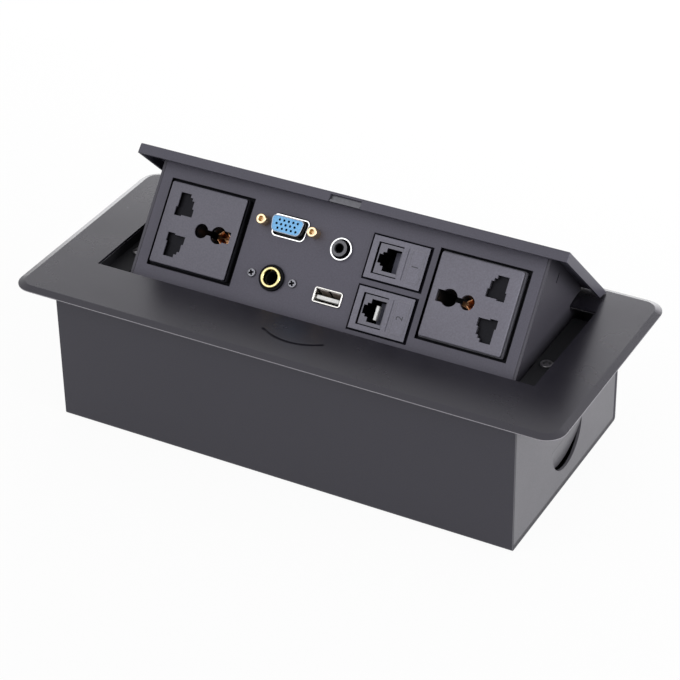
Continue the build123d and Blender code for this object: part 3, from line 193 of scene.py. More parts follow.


# %% [markdown]
# Many pieces here get painted shade: the side walls, hole walls and recesses of mouldings are
# painted black below a level, so they read as dark bands where shade falls. One helper paints
# such a piece: it measures how far a point lies out of a plane, in object space, and takes the
# second colour where that is less than a level. The second colour is given as a metal, because
# a plastic's own gloss would turn black into grey in a white tent, so the reflection is painted
# out too. A few pieces get a lighter band from it instead.


# %% A second colour under a level
def behind(material, colour, level, direction, start):
    """Colours what lies less than level millimetres out of the plane through start."""
    soft_edge = 0.02  # millimetres
    tree = material.node_tree
    shader = tree.nodes["Principled BSDF"]
    front = shader.inputs["Base Color"].links[0].from_socket
    place = tree.nodes.new("ShaderNodeTexCoord")
    out = tree.nodes.new("ShaderNodeVectorMath")
    out.operation = "DOT_PRODUCT"
    out.inputs[1].default_value = direction
    tree.links.new(place.outputs["Object"], out.inputs[0])
    step = tree.nodes.new("ShaderNodeMapRange")
    step.inputs["From Min"].default_value = start.dot(direction) + (level - soft_edge) * MM
    step.inputs["From Max"].default_value = start.dot(direction) + (level + soft_edge) * MM
    tree.links.new(out.outputs["Value"], step.inputs["Value"])

    pick = tree.nodes.new("ShaderNodeMix")
    pick.data_type = "RGBA"
    # A Mix node has sockets of one name for each kind of data, so its colours go by number.
    colour_a, colour_b, colour_result = pick.inputs[6], pick.inputs[7], pick.outputs[2]
    tree.links.new(step.outputs["Result"], pick.inputs["Factor"])
    colour_a.default_value = (*colour, 1.0)
    tree.links.new(front, colour_b)
    tree.links.new(colour_result, shader.inputs["Base Color"])

    metal = tree.nodes.new("ShaderNodeMapRange")
    metal.inputs["To Min"].default_value = 1.0
    metal.inputs["To Max"].default_value = shader.inputs["Metallic"].default_value
    tree.links.new(step.outputs["Result"], metal.inputs["Value"])
    tree.links.new(metal.outputs["Result"], shader.inputs["Metallic"])
    return material


def behind_panel(material, colour, level):
    return behind(material, colour, level, on_panel.col[2].to_3d(), on_panel.translation)


def below(material, colour, height):
    return behind(material, colour, height, Vector((0, 0, 1)), Vector((0, 0, 0)))


# %% [markdown]
# The frame, the box, the lid and the panel are sheet steel with a charcoal powder coat. The
# frame's coat is the glossiest: its far borders mirror the bright tent and its front border
# mirrors the dark lid, so it is a dark paint with a clear reflection. The others are satin,
# and slightly violet, as the photograph shows.

# %% Painted metal
violet = (0.92, 0.90, 1.0, 1.0)
frame_coat = (0.013, 0.012, 0.017)
finishes = {
    "frame_paint": finish("frame_paint", frame_coat, 0.26, IOR=1.6, Specular_Tint=violet),
    "box_steel": finish("box_steel", (0.030, 0.029, 0.037), 0.42, Specular_Tint=violet),
    "lid_paint": finish("lid_paint", (0.046, 0.044, 0.060), 0.40, Specular_Tint=violet),
    "panel_paint": finish("panel_paint", (0.050, 0.048, 0.064), 0.45, Specular_Tint=violet),
}
# Painted shade: more than 0.35 mm behind the panel's face, the walls of its openings included,
# the front panel is painted near black.
panel_front = behind_panel(
    finish("panel_front", (0.060, 0.057, 0.077), 0.45, Specular_Tint=violet),
    colour=(0.006, 0.006, 0.008),
    level=-0.35,
)
# Painted shade: the side plates take a darker copy of the panel paint.
shaded_side_sheet = finish("shaded_side_sheet", (0.040, 0.038, 0.048), 0.45, Specular_Tint=violet)
# Painted shade: the ledges and walls of the recesses are painted near black and dull.
recess_shade = finish("recess_shade", (0.008, 0.008, 0.010), 0.7, IOR=1.3)
print(len(finishes), "painted finishes")

# %% [markdown]
# Two edges get painted light and shade. The lower edge of the frame is painted as a bright
# line, a painted highlight, and the end plates get painted shade in a dark band at the bottom
# and the back. Both are straight lines, so the helper for a second colour draws them.

# %% Frame with a painted highlight on its lower edge
rim_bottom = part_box("top_frame")[0].z * 1000
highlight_band, underside = 0.4, 0.04
framed = finish("framed", frame_coat, 0.26, IOR=1.6, Specular_Tint=violet)
# Painted highlight: the lowest 0.4 mm of the rim is a light metal; below 0.04 mm the underside
# is painted dark again.
below(framed, (0.30, 0.29, 0.31), rim_bottom + highlight_band)
below(framed, (0.020, 0.020, 0.024), rim_bottom + underside)
print("frame's lower edge at", round(rim_bottom, 2), "mm")

# %% End plates, painted lighter, with painted shade along the bottom and the back
joint_shade_black = (0.010, 0.010, 0.012)
bottom_shade_band, rear_shade_band = 1.5, 1.2
plate_low, plate_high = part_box("end_plate_right")
rear_edge = Vector((0, plate_high.y, 0))
# Painted light: the end plates are a lighter copy of the box paint, standing in for the strong
# light on their side. Painted shade: dark bands run along their bottom and back edges.
lit_end_sheet = finish("lit_end_sheet", (0.092, 0.090, 0.100), 0.36, IOR=1.6, Specular_Tint=violet)
below(lit_end_sheet, joint_shade_black, plate_low.z * 1000 + bottom_shade_band)
behind(lit_end_sheet, joint_shade_black, rear_shade_band, Vector((0, -1, 0)), rear_edge)
print("end plates start at", round(plate_low.z * 1000, 2), "mm")

# %% [markdown]
# Bare steel, nickel, chrome, gilt brass and copper are all metals: the metallic value is 1 or
# near it, the colour is that of the mirror image, and the roughness tells polished from dull.
# The screws of the large jack and the tube of the video outlet get painted shade: below a level
# they are painted black, so only their tops stay bright. A helper names what differs:
# roughness, grain, drift and metal.

# %% Bare and plated metal
screw_shade_level = 0.35


def plated(name, colour, roughness, skin, drift=0.06, metallic=1.0):
    return finish(name, colour, roughness, metallic, skin=skin, drift=drift)


screw_nickel = plated("screw_nickel", (0.17, 0.17, 0.19), 0.25, 1200, 0.08)
finishes.update(
    {
        "zinc_steel": plated("zinc_steel", (0.52, 0.52, 0.54), 0.38, 900, 0.1),
        "bright_steel": plated("bright_steel", (0.6, 0.6, 0.61), 0.28, 1200, 0.08),
        "black_screw": plated("black_screw", (0.16, 0.155, 0.165), 0.3, 1200, 0.1, 0.8),
        # Painted shade: the heads are black below 0.35 mm out of the panel, in the cross
        # recess.
        "screw_nickel": behind_panel(screw_nickel, (0.004, 0.004, 0.005), screw_shade_level),
        "nickel_shell": plated("nickel_shell", (0.70, 0.69, 0.67), 0.22, 900),
        "ring_chrome": plated("ring_chrome", (0.86, 0.86, 0.87), 0.14, 700, 0.05),
        "gold_metal": plated("gold_metal", (0.72, 0.62, 0.31), 0.18, 800, 0.05),
        "contact_copper": plated("contact_copper", (0.70, 0.36, 0.18), 0.3, 700, 0.1),
    }
)
print(len(finishes), "finishes with the metals")

# %% Metals of single pieces
tube_shade_level = 4.0
pale_gold = plated("pale_gold", (0.80, 0.62, 0.40), 0.3, 900, 0.05)
tube_metal = plated("tube_dark", (0.42, 0.47, 0.55), 0.35, 1200, metallic=0.6)
# Painted shade: the tube is near black below 4 mm out of the panel.
tube_dark = behind_panel(tube_metal, (0.012, 0.012, 0.014), tube_shade_level)
dull_nickel = plated("dull_nickel", (0.30, 0.26, 0.25), 0.4, 900, 0.08, 0.8)
dark_steel = plated("dark_steel", (0.09, 0.09, 0.10), 0.35, 1200, 0.08, 0.8)
print("metals of single pieces:", pale_gold.name, tube_dark.name, dull_nickel.name)

# %% [markdown]
# The outlets are moulded plastic: grey faces with a spark-eroded grain, black surrounds that
# stand in for the shade in the gaps round them, a white tongue and comb, and the blue insert.
# The grain is a stronger bump than the paint's. The faces stand proud of the panel, and what
# lies below their level is painted black as shade. The levels are in millimetres out of the
# panel.

# %% Moulded plastic and rubber
# Painted shade: the colour below the level of a face, on its side walls and in its openings.
painted_shade_black = (0.005, 0.005, 0.007)
socket_level, data_level, insert_level = 2.3, 0.68, 4.05
dark_jack_level, grey_jack_level = 0.62, 3.05


def grained(name, colour, height=0.00006):
    return finish(name, colour, 0.5, skin=1400, height=height)


jack_dark = grained("jack_dark", (0.150, 0.146, 0.180), height=0.00004)
jack_grey = finish("jack_grey", (0.10, 0.10, 0.115), 0.4)
socket_grey = grained("socket_grey", (0.105, 0.101, 0.130))
finishes.update(
    {
        "black_plastic": finish("black_plastic", (0.010, 0.010, 0.012), 0.5),
        # Painted shade: the surrounds and the shutters are near black metal, so they show no
        # reflection.
        "moat_black": finish("moat_black", (0.010, 0.010, 0.012), 0.6, metallic=1.0),
        "shutter_black": finish("shutter_black", (0.012, 0.012, 0.014), 0.5, metallic=1.0),
        "jack_dark": behind_panel(jack_dark, painted_shade_black, dark_jack_level),
        "jack_grey": behind_panel(jack_grey, painted_shade_black, grey_jack_level),
        "grey_plastic": finish("grey_plastic", (0.2, 0.2, 0.21), 0.5),
        "white_plastic": finish("white_plastic", (0.86, 0.86, 0.86), 0.4),
        "socket_grey": behind_panel(socket_grey, painted_shade_black, socket_level),
        "blue_plastic": finish("blue_plastic", (0.10, 0.40, 0.76), 0.35),
        "black_rubber": finish("black_rubber", (0.02, 0.02, 0.02), 0.7),
    }
)
print(len(finishes), "finishes with the plastics")

# %% Plastics of single pieces
# Painted light: the right socket plate is a lighter copy of the socket grey, and its side walls
# are painted a lighter grey still.
lit_plate_grey = grained("lit_plate_grey", (0.135, 0.130, 0.165))
behind_panel(lit_plate_grey, (0.18, 0.174, 0.20), socket_level)
data_grey = grained("data_grey", (0.155, 0.150, 0.190))
behind_panel(data_grey, painted_shade_black, data_level)
blue_top = finish("blue_top", (0.18, 0.50, 0.88), 0.35)
# Painted shade: the insert's sides and the walls of its holes are dark blue below its face.
behind_panel(blue_top, (0.008, 0.02, 0.05), insert_level)

# Painted shade and light: the left step is a black without reflection and the right step a
# lighter grey, copies of one moulding.
shaded_step = finish("shaded_step", (0.020, 0.020, 0.024), 0.6, metallic=1.0)
lit_step = finish("lit_step", (0.070, 0.068, 0.082), 0.5)
label_grey = grained("label_grey", (0.175, 0.170, 0.205))
plate_grey = finish("plate_grey", (0.13, 0.13, 0.17), 0.4)
print_dark = finish("print_dark", (0.030, 0.030, 0.038), 0.6)
print("plastics of single pieces:", lit_plate_grey.name, data_grey.name, blue_top.name)

# %% [markdown]
# Each solid came with the name of its finish. A few get one of their own, where the
# photograph shows a different tone on that piece; most of these carry painted shade or painted
# light. A solid's mesh is left as it is, and only its paint changes.

# %% Paint the solids
for entry in frame["record"]["subparts"]:
    node = frame["nodes"][entry["node"]]
    node.data.materials.clear()
    node.data.materials.append(finishes[entry["material_slot"]])
own_finish = {
    "lid_striker": dark_steel,
    "data_face_upper": data_grey,
    "data_face_lower": data_grey,
    "front_panel": panel_front,
    "side_plate_left": shaded_side_sheet,
    "side_plate_right": shaded_side_sheet,
    "recess_ledge": recess_shade,
    "recess_wall": recess_shade,
    "top_frame": framed,
    "end_plate_left": lit_end_sheet,
    "end_plate_right": lit_end_sheet,
}
for name, material in own_finish.items():
    frame["nodes"][name].data.materials[0] = material
print(len(finishes), "finishes on", len(frame["nodes"]), "solids")

# %% [markdown]
# Every modelled piece ends the same way. It is moved from the drawing to the object, its
# place is written into its mesh, doubled points are merged, normals are turned outwards, and it
# gets its finish and the body that it moves with. So one helper does it all, and smaller ones
# copy, repeat, join, round and cut.


# %% Seat a finished piece
def seat(piece, place, x, y, z, body, slot, smooth=40):
    """Moves a piece drawn in millimetres to its place, and writes that place into its mesh."""
    hold(piece)
    shift = Matrix.Translation(Vector((x, y, z)) * MM)
    piece.matrix_world = place @ shift @ Matrix.Scale(MM, 4) @ piece.matrix_world
    bpy.ops.object.transform_apply(location=True, rotation=True, scale=True)
    bpy.ops.object.mode_set(mode="EDIT")
    bpy.ops.mesh.select_all(action="SELECT")
    bpy.ops.mesh.remove_doubles(threshold=1e-7)
    bpy.ops.mesh.normals_make_consistent(inside=False)
    close_edit()
    bpy.ops.object.shade_smooth_by_angle(angle=math.radians(smooth))
    piece.data.materials.clear()
    piece.data.materials.append(finishes[slot])
    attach(piece, body)
    return piece


# %% Copy, repeat, join, round and cut
def copy_piece(piece, name):
    """A copy with its own mesh."""
    twin = piece.copy()
    twin.data = piece.data.copy()
    twin.name = name
    scene.collection.objects.link(twin)
    return twin


def repeat(piece, count, step):
    """Repeats a piece within its own mesh, each one a step further on."""
    hold(piece)
    row = piece.modifiers.new("row", "ARRAY")
    row.count = count
    row.use_relative_offset = False
    row.use_constant_offset = True
    row.constant_offset_displace = step
    bpy.ops.object.modifier_apply(modifier=row.name)


def join(pieces, name):
    let_go()
    for piece in pieces:
        piece.select_set(True)
    bpy.context.view_layer.objects.active = pieces[0]
    bpy.ops.object.join()
    pieces[0].name = name
    return pieces[0]


def round_edges(piece, width, segments=3, angle=35):
    hold(piece)
    bevel = piece.modifiers.new("edge", "BEVEL")
    bevel.width = width
    bevel.segments = segments
    bevel.limit_method = "ANGLE"
    bevel.angle_limit = math.radians(angle)
    bpy.ops.object.modifier_apply(modifier=bevel.name)


def cut_with(piece, tool):
    """Takes the tool's shape out of the piece, and throws the tool away."""
    hold(tool)
    bpy.ops.object.transform_apply(location=True, rotation=True, scale=True)
    hold(piece)
    cut = piece.modifiers.new("cut", "BOOLEAN")
    cut.object = tool
    cut.operation = "DIFFERENCE"
    bpy.ops.object.modifier_apply(modifier=cut.name)
    bpy.data.objects.remove(tool)


# %% A block and a rod to start from
def block(centre, size, turn=0):
    """A block in millimetres, turned by an angle in degrees about its upright axis."""
    let_go()
    bpy.ops.mesh.primitive_cube_add(size=1, location=centre)
    piece = bpy.context.object
    piece.scale = size
    piece.rotation_euler = (0, 0, math.radians(turn))
    bpy.ops.object.transform_apply(location=True, rotation=True, scale=True)
    return piece


def rod(x, y, low, high, radius, sides):
    let_go()
    bpy.ops.mesh.primitive_cylinder_add(
        vertices=sides, radius=radius, depth=high - low, location=(x, y, (low + high) / 2)
    )
    bpy.ops.object.transform_apply(location=True)
    return bpy.context.object


# %% [markdown]
# A jack's ring is a turned part: a short tube with rounded lips. It could be spun from a drawn
# section, but a cylinder is a quicker start. Its two ends are inset, the inset faces are
# bridged into a bore, and a bevel rounds the lips.


# %% A bore, and a turned ring
def bore_through(piece, wall):
    open_faces(piece, end_faces)
    bpy.ops.mesh.inset(thickness=wall, use_individual=True)
    bpy.ops.mesh.bridge_edge_loops()
    close_edit()


def turned_ring(name, outer, inner, low, high, lip, sides=64):
    ring = rod(0, 0, low, high, outer, sides)
    ring.name = name
    bore_through(ring, outer - inner)
    round_edges(ring, lip)
    return ring


# %% Gold ring and black collar of the large jack
large_jack = (-26.2, -39.6)
gold_ring = turned_ring(
    "large_jack_gold_ring", outer=4.72, inner=3.3, low=-1.2, high=2.4, lip=0.62
)
seat(gold_ring, on_panel, *large_jack, 0, "tilt_unit", "gold_metal")
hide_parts("large_jack_ring")

collar = turned_ring(
    "large_jack_black_collar", outer=5.8, inner=4.74, low=-1.2, high=1.5, lip=0.25
)
seat(collar, on_panel, *large_jack, 0, "tilt_unit", "black_plastic")
# Painted shade: the collar takes the black without reflection.
collar.data.materials[0] = finishes["moat_black"]
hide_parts("large_jack_collar")
print("gold ring has", len(gold_ring.data.polygons), "faces")

# %% Ring of the small jack, and the black rings inside it
small_jack = (1.4, -20.0)
bright_ring = turned_ring(
    "small_jack_bright_ring", outer=5.05, inner=4.15, low=0, high=1.5, lip=0.28
)
seat(bright_ring, on_panel, *small_jack, 0, "tilt_unit", "ring_chrome")
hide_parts("small_jack_ring")

inner_ring = turned_ring(
    "small_jack_inner_ring", outer=4.13, inner=3.56, low=0, high=1.2, lip=0.12
)
mouth = turned_ring("small_jack_mouth", outer=2.2, inner=1.8, low=2.9, high=3.36, lip=0.05)
# Painted shade: these rings take the black without reflection.
for piece in (inner_ring, mouth):
    seat(piece, on_panel, *small_jack, 0, "tilt_unit", "black_plastic")
    piece.data.materials[0] = finishes["moat_black"]
print("bright ring has", len(bright_ring.data.polygons), "faces")

# %% [markdown]
# The jackscrews beside the video outlet are gilt brass posts with a rounded rim and a threaded
# bore. A true thread would be too fine to see. So a turned post is inset on top and pushed down
# in shallow steps, wide and narrow in turn, which read as thread.

# %% Jackscrews
threads, half_pitch, waist = 4, 0.35, 0.86
post = rod(0, 0, low=0, high=4.9, radius=2.3, sides=36)
open_faces(post, top_faces)
bpy.ops.mesh.inset(thickness=0.35, depth=0.3)
bpy.ops.mesh.inset(thickness=0.72, depth=-0.1)
for thread in range(threads):
    for share in (waist, 1 / waist):
        bpy.ops.mesh.extrude_region_move(
            TRANSFORM_OT_translate={"value": (0, 0, -half_pitch)}
        )
        bpy.ops.transform.resize(value=(share, share, 1))
close_edit()
round_edges(post, 0.14, 3, 25)

twin = copy_piece(post, "jackscrew_post_right")
post.name = "jackscrew_post_left"
post_y, post_z = -16.4, -0.3
for piece, x, node in (
    (post, -37.4, "vga_jackscrew_left"),
    (twin, -12.5, "vga_jackscrew_right"),
):
    seat(piece, on_panel, x, post_y, post_z, "tilt_unit", "gold_metal", 30)
    piece.data.materials[0] = pale_gold
    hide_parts(node)
print("each jackscrew has", len(post.data.polygons), "faces")

# %% [markdown]
# The video outlet has a slanted outline with round corners, pressed in thin steel. A plane is
# the start: its lower edge is drawn in, its four corners are bevelled, and the outline is
# extruded upwards. The same helper, with no slant, gives the USB lip, the socket plates and
# the frames of the labels.


# %% A prism with round corners
def rounded_prism(name, width, height, slant, corner, low, high, segments=6):
    let_go()
    bpy.ops.mesh.primitive_plane_add(size=1, location=(0, 0, low))
    prism = bpy.context.object
    prism.name = name
    prism.scale = (width, height, 1)
    bpy.ops.object.transform_apply(location=True, scale=True)
    for corner_point in prism.data.vertices:
        if corner_point.co.y < 0:
            corner_point.co.x *= 1 - 2 * slant / width
    hold(prism)
    bpy.ops.object.mode_set(mode="EDIT")
    bpy.ops.mesh.select_all(action="SELECT")
    bpy.ops.mesh.bevel(affect="VERTICES", offset=corner, segments=segments)
    bpy.ops.mesh.extrude_region_move(TRANSFORM_OT_translate={"value": (0, 0, high - low)})
    bpy.ops.mesh.select_all(action="SELECT")
    bpy.ops.mesh.normals_make_consistent(inside=False)
    close_edit()
    return prism


# %% Shell of the video outlet
video = (-24.9, -16.5)
skirt_drop = 0.3
skirt = rounded_prism(
    "video_skirt", width=17.6, height=9.9, slant=1.0, corner=1.9, low=0, high=0.6
)
bore_through(skirt, wall=0.75)
round_edges(skirt, 0.2)
seat(skirt, on_panel, video[0], video[1] - skirt_drop, 0, "tilt_unit", "nickel_shell")
skirt.data.materials[0] = finishes["ring_chrome"]
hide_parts("vga_shell")

tube = rounded_prism(
    "video_tube", width=15.7, height=7.2, slant=1.1, corner=2.0, low=-1.2, high=4.25
)
bore_through(tube, wall=0.3)
round_edges(tube, 0.1)
seat(tube, on_panel, *video, 0, "tilt_unit", "nickel_shell")
tube.data.materials[0] = tube_dark
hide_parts("vga_shell")
print("video skirt has", len(skirt.data.polygons), "faces")

# %% [markdown]
# The blue insert carries fifteen contact holes in three rows, the middle row half a step
# aside. The holes are cut all at once, which is quicker and cleaner than one by one:
# sixteen-sided rods are joined into one tool and taken out with a boolean.

# %% Blue insert with fifteen holes
hole_radius, hole_bottom, drill_top = 0.58, 1.3, 6.3
hole_pitch, row_pitch, row_shift = 2.2, 1.85, 0.5
insert = rounded_prism(
    "video_blue_insert", width=15.05, height=6.55, slant=1.0, corner=1.8, low=-1.0, high=4.3
)
round_edges(insert, 0.18)
drills = []
for row in (-1, 0, 1):
    shift = -row_shift if row == 0 else row_shift
    for column in (-2, -1, 0, 1, 2):
        x, y = column * hole_pitch + shift, row * row_pitch
        drills.append(rod(x, y, hole_bottom, drill_top, hole_radius, sides=16))
cut_with(insert, join(drills, "drill"))
seat(insert, on_panel, *video, 0, "tilt_unit", "blue_plastic", 30)
insert.data.materials[0] = blue_top
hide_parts("vga_insert")
print("video outlet done,", len(insert.data.polygons), "faces in the insert")

# %% [markdown]
# Screws with a cross recess hold the large jack and the ledges. The head starts as a cylinder
# whose top is inset and lifted into a low dome. Two tapered bars, crossed at a right angle, are
# cut out of it with a boolean, as a punch would press them.


# %% A cross-head screw
def cross_head(name, radius, height):
    head = rod(0, 0, low=0, high=height, radius=radius, sides=40)
    head.name = name
    open_faces(head, top_faces)
    bpy.ops.mesh.inset(thickness=radius * 0.25, depth=0)
    bpy.ops.transform.translate(value=(0, 0, height * 0.12))
    bpy.ops.mesh.inset(thickness=radius * 0.3, depth=0)
    bpy.ops.transform.translate(value=(0, 0, height * 0.06))
    close_edit()
    round_edges(head, height * 0.22, 3)
    for turn in (25, 115):
        bar_size = (radius * 1.4, radius * 0.5, height * 1.4)
        bar = block((0, 0, height * 0.85), bar_size, turn)
        open_faces(bar, bottom_faces)
        bpy.ops.transform.resize(value=(0.8, 0.8, 1))
        close_edit()
        cut_with(head, bar)
    return head


# %% Screws of the large jack
left_x, right_x = -36.22, -16.18
screw = cross_head("jack_screw_left", radius=1.9, height=0.85)
screw_twin = copy_piece(screw, "jack_screw_right")
for piece, x in ((screw, left_x), (screw_twin, right_x)):
    seat(piece, on_panel, x, large_jack[1], 0, "tilt_unit", "screw_nickel", 30)
    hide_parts("large_jack_screws")
print("each jack screw has", len(screw.data.polygons), "faces")

# %% Screws on the end ledges
ledge_x, ledge_y, ledge_top = 99.5, -1.4, 58.8
screw = cross_head("ledge_screw_left", radius=2.75, height=0.95)
screw_twin = copy_piece(screw, "ledge_screw_right")
for piece, x in ((screw, -ledge_x), (screw_twin, ledge_x)):
    seat(piece, upright, x, ledge_y, ledge_top, "housing", "black_screw", 30)
    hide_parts("ledge_screws")
print("each ledge screw has", len(screw.data.polygons), "faces")

# %% [markdown]
# Inside each data outlet lie eight gilt spring wires, side by side. A wire starts as a small
# square block in the opening. Its lower end is extruded in four steps, which lead it down and
# aside into the jack, as a bent wire runs. One wire is modelled and the others repeat it.

# %% Spring wires of the data outlets
data_outlets = (("upper", 19.4), ("lower", 41.8))
wire_count, wire_pitch, wire_size = 8, 1.02, 0.35
wire_x, wire_start = 27.75, (0.9, -(wire_count - 1) / 2 * wire_pitch, -4.4)
wire_steps = ((-0.25, 0, -0.6), (-0.9, 0, -2.0), (-1.1, 0, -2.2), (-0.5, 0, -1.4))


def spring_wires(name):
    wires = block(wire_start, (wire_size, wire_size, wire_size))
    wires.name = name
    open_faces(wires, bottom_faces)
    for step in wire_steps:
        bpy.ops.mesh.extrude_region_move(TRANSFORM_OT_translate={"value": step})
    close_edit()
    repeat(wires, wire_count, (0, wire_pitch, 0))
    round_edges(wires, 0.06, 2, 50)
    return wires


for place, middle in data_outlets:
    wires = spring_wires("data_wires_" + place)
    seat(wires, on_panel, wire_x, -middle, 0, "tilt_unit", "gold_metal", 50)
    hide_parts("data_contacts_" + place)
print("wires at a pitch of", wire_pitch, "mm,", len(wires.data.polygons), "faces")

# %% [markdown]
# The lower outlet also shows a pale comb that keeps the wires apart, and both show a sloping
# plate behind them. A block and a thin rounded plate, tilted in edit mode, are enough, because
# only their front faces are seen through the opening.

# %% White comb in the lower data outlet
comb = block(centre=(24.95, -42.15, -1.7), size=(1.25, 6.3, 3.0))
comb.name = "data_comb_lower"
open_faces(comb, top_faces)
bpy.ops.mesh.inset(thickness=0.2, depth=0.15)
close_edit()
round_edges(comb, 0.12, 2)
seat(comb, on_panel, 0, 0, 0, "tilt_unit", "white_plastic")
print("comb has", len(comb.data.polygons), "faces")

# %% Sloping plate behind the wires
slope, slope_x = math.radians(24), 25.9
low_edge = (2.1, 0, -4.3)
for place, middle in data_outlets:
    sloped = rounded_prism(
        "data_plate_" + place, width=5.0, height=9.4, slant=0, corner=0.4, low=-4.6, high=-4.0
    )
    open_faces(sloped, all_faces)
    bpy.ops.transform.rotate(value=slope, orient_axis="Y", center_override=low_edge)
    close_edit()
    round_edges(sloped, 0.12, 2)
    seat(sloped, on_panel, slope_x, -middle, 0, "tilt_unit", "jack_dark")
    sloped.data.materials[0] = plate_grey
print("sloping plates lean", round(math.degrees(slope)), "degrees")

# %% [markdown]
# Beside each opening the face has a field for a label, with a low raised frame round it. The
# frame is moulded in one with the face. Here it is a rounded prism, bored through and set on
# the face, because both helpers are at hand.

# %% Raised frames round the label fields
label_x = 36.4
for place, middle in data_outlets:
    border = rounded_prism(
        "label_frame_" + place, width=6.6, height=14.4, slant=0, corner=0.4, low=0.9, high=1.14
    )
    bore_through(border, wall=0.4)
    round_edges(border, 0.06, 2)
    seat(border, on_panel, label_x, -middle, 0, "tilt_unit", "socket_grey")
    border.data.materials[0] = label_grey
print("label frame has", len(border.data.polygons), "faces")

# %% [markdown]
# The USB outlet has a pressed steel shell with a rolled lip, a white tongue with four gilt
# strips, and two sprung plates under its roof. The lip is a rounded outline bored through and
# rounded again, and the strips and plates are blocks drawn out of true in edit mode.

# %% USB shell
usb = (1.55, -41.25)
pressed = rounded_prism(
    "usb_pressed_shell", width=12.7, height=6.1, slant=0, corner=0.6, low=-13.9, high=0.2
)
bore_through(pressed, wall=0.35)
lip = rounded_prism(
    "usb_rolled_lip", width=13.5, height=6.9, slant=0, corner=1.15, low=0.02, high=0.9
)
bore_through(lip, wall=0.68)
round_edges(lip, 0.3, 4)
for piece in (pressed, lip):
    seat(piece, on_panel, *usb, 0, "tilt_unit", "nickel_shell")
    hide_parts("usb_shell")
print("rolled lip has", len(lip.data.polygons), "faces")

# %% USB tongue
tongue_drop = 0.66
tongue = rounded_prism(
    "usb_white_tongue", 10.6, 1.6, slant=0, corner=0.15, low=-13.8, high=-0.5, segments=2
)
round_edges(tongue, 0.12, 2)
seat(tongue, on_panel, usb[0], usb[1] - tongue_drop, 0, "tilt_unit", "white_plastic")
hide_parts("usb_tongue")
print("tongue has", len(tongue.data.polygons), "faces")

# %% USB strips
strip_count, strip_pitch = 4, 2.3
strip_start = (-(strip_count - 1) / 2 * strip_pitch, 0.22, -5.0)
usb_strips = block(strip_start, size=(1.1, 0.16, 7.0))
usb_strips.name = "usb_strips"
open_faces(usb_strips, top_faces)
bpy.ops.mesh.extrude_region_move(TRANSFORM_OT_translate={"value": (0, -0.1, 0.5)})
close_edit()
repeat(usb_strips, strip_count, (strip_pitch, 0, 0))
round_edges(usb_strips, 0.04, 2)
seat(usb_strips, on_panel, *usb, 0, "tilt_unit", "gold_metal")
print("USB strips have", len(usb_strips.data.polygons), "faces")

# %% Sprung plates under the USB roof
roof_plates = []
for side in (-1, 1):
    roof_plate = block(centre=(side * 2.9, 2.45, -3.6), size=(4.6, 0.22, 6.0))
    open_faces(roof_plate, bottom_faces)
    bpy.ops.transform.translate(value=(0, -1.9, 0))
    close_edit()
    open_faces(roof_plate, lambda centre, normal: abs(normal.y) > 0.8)
    bpy.ops.mesh.inset(thickness=0.9, depth=-0.05, use_individual=True)
    close_edit()
    roof_plates.append(roof_plate)
springs = join(roof_plates, "usb_roof_springs")
round_edges(springs, 0.05, 2)
seat(springs, on_panel, *usb, 0, "tilt_unit", "nickel_shell")
springs.data.materials[0] = dull_nickel
print("roof springs have", len(springs.data.polygons), "faces")

# %% [markdown]
# A universal socket takes several kinds of plug, so its live and neutral openings are stepped
# outlines, and its earth opening is two circles and a slot in one. The plate is a rounded
# outline, hollowed from below. Each opening is the sum of a few blocks and rods, which are cut
# out one after another, as a toolmaker would build the punch.

# %% Outlines of the openings, in millimetres from the middle of the plate
# Each block is left, right, low, high. Each rod is its place and its radius.
slot_blocks = [
    (8.0, 13.2, 7.5, 14.4),
    (10.1, 13.8, 3.9, 7.8),
    (4.9, 10.3, 4.5, 8.1),
    (5.7, 8.2, 8.0, 11.6),
    (6.8, 8.2, 11.4, 12.9),
]
mirrored_blocks = [(left, right, -high, -low) for left, right, low, high in slot_blocks]
earth_blocks = [(-15.9, -9.0, -2.6, 2.6), (-9.6, -2.2, -1.15, 1.15)]
small_earth, large_earth = -1.65, -10.1
earth_rods = [(small_earth, 3.25), (large_earth, 3.85)]
punch_height = 4
socket_x, socket_y = 65.8, -28.15
half_turn = Matrix.Rotation(math.pi, 4, "Z")
print(len(slot_blocks + mirrored_blocks + earth_blocks), "blocks and", len(earth_rods), "rods")


# %% A socket plate
def socket_plate(name):
    plate = rounded_prism(name, 37.6, 36.6, 0, corner=0.8, low=-2.4, high=2.9, segments=4)
    round_edges(plate, 0.35, 3)
    cut_with(plate, block(centre=(0, 0, -1.1), size=(34.7, 33.7, 4)))
    for left, right, low, high in slot_blocks + mirrored_blocks + earth_blocks:
        centre = ((left + right) / 2, (low + high) / 2, punch_height / 2)
        cut_with(plate, block(centre, (right - left, high - low, punch_height)))
    for x, radius in earth_rods:
        cut_with(plate, rod(x, 0, 0, punch_height, radius, sides=48))
    return plate


# %% Plates of both sockets
plate = socket_plate("socket_plate_right")
twin = copy_piece(plate, "socket_plate_left")
twin.matrix_world = half_turn
seat(plate, on_panel, socket_x, socket_y, 0, "tilt_unit", "socket_grey", 30)
seat(twin, on_panel, -socket_x, socket_y, 0, "tilt_unit", "socket_grey", 30)
plate.data.materials[0] = lit_plate_grey
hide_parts("socket_face_right")
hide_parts("socket_face_left")
print("socket plates have", len(plate.data.polygons), "faces each")

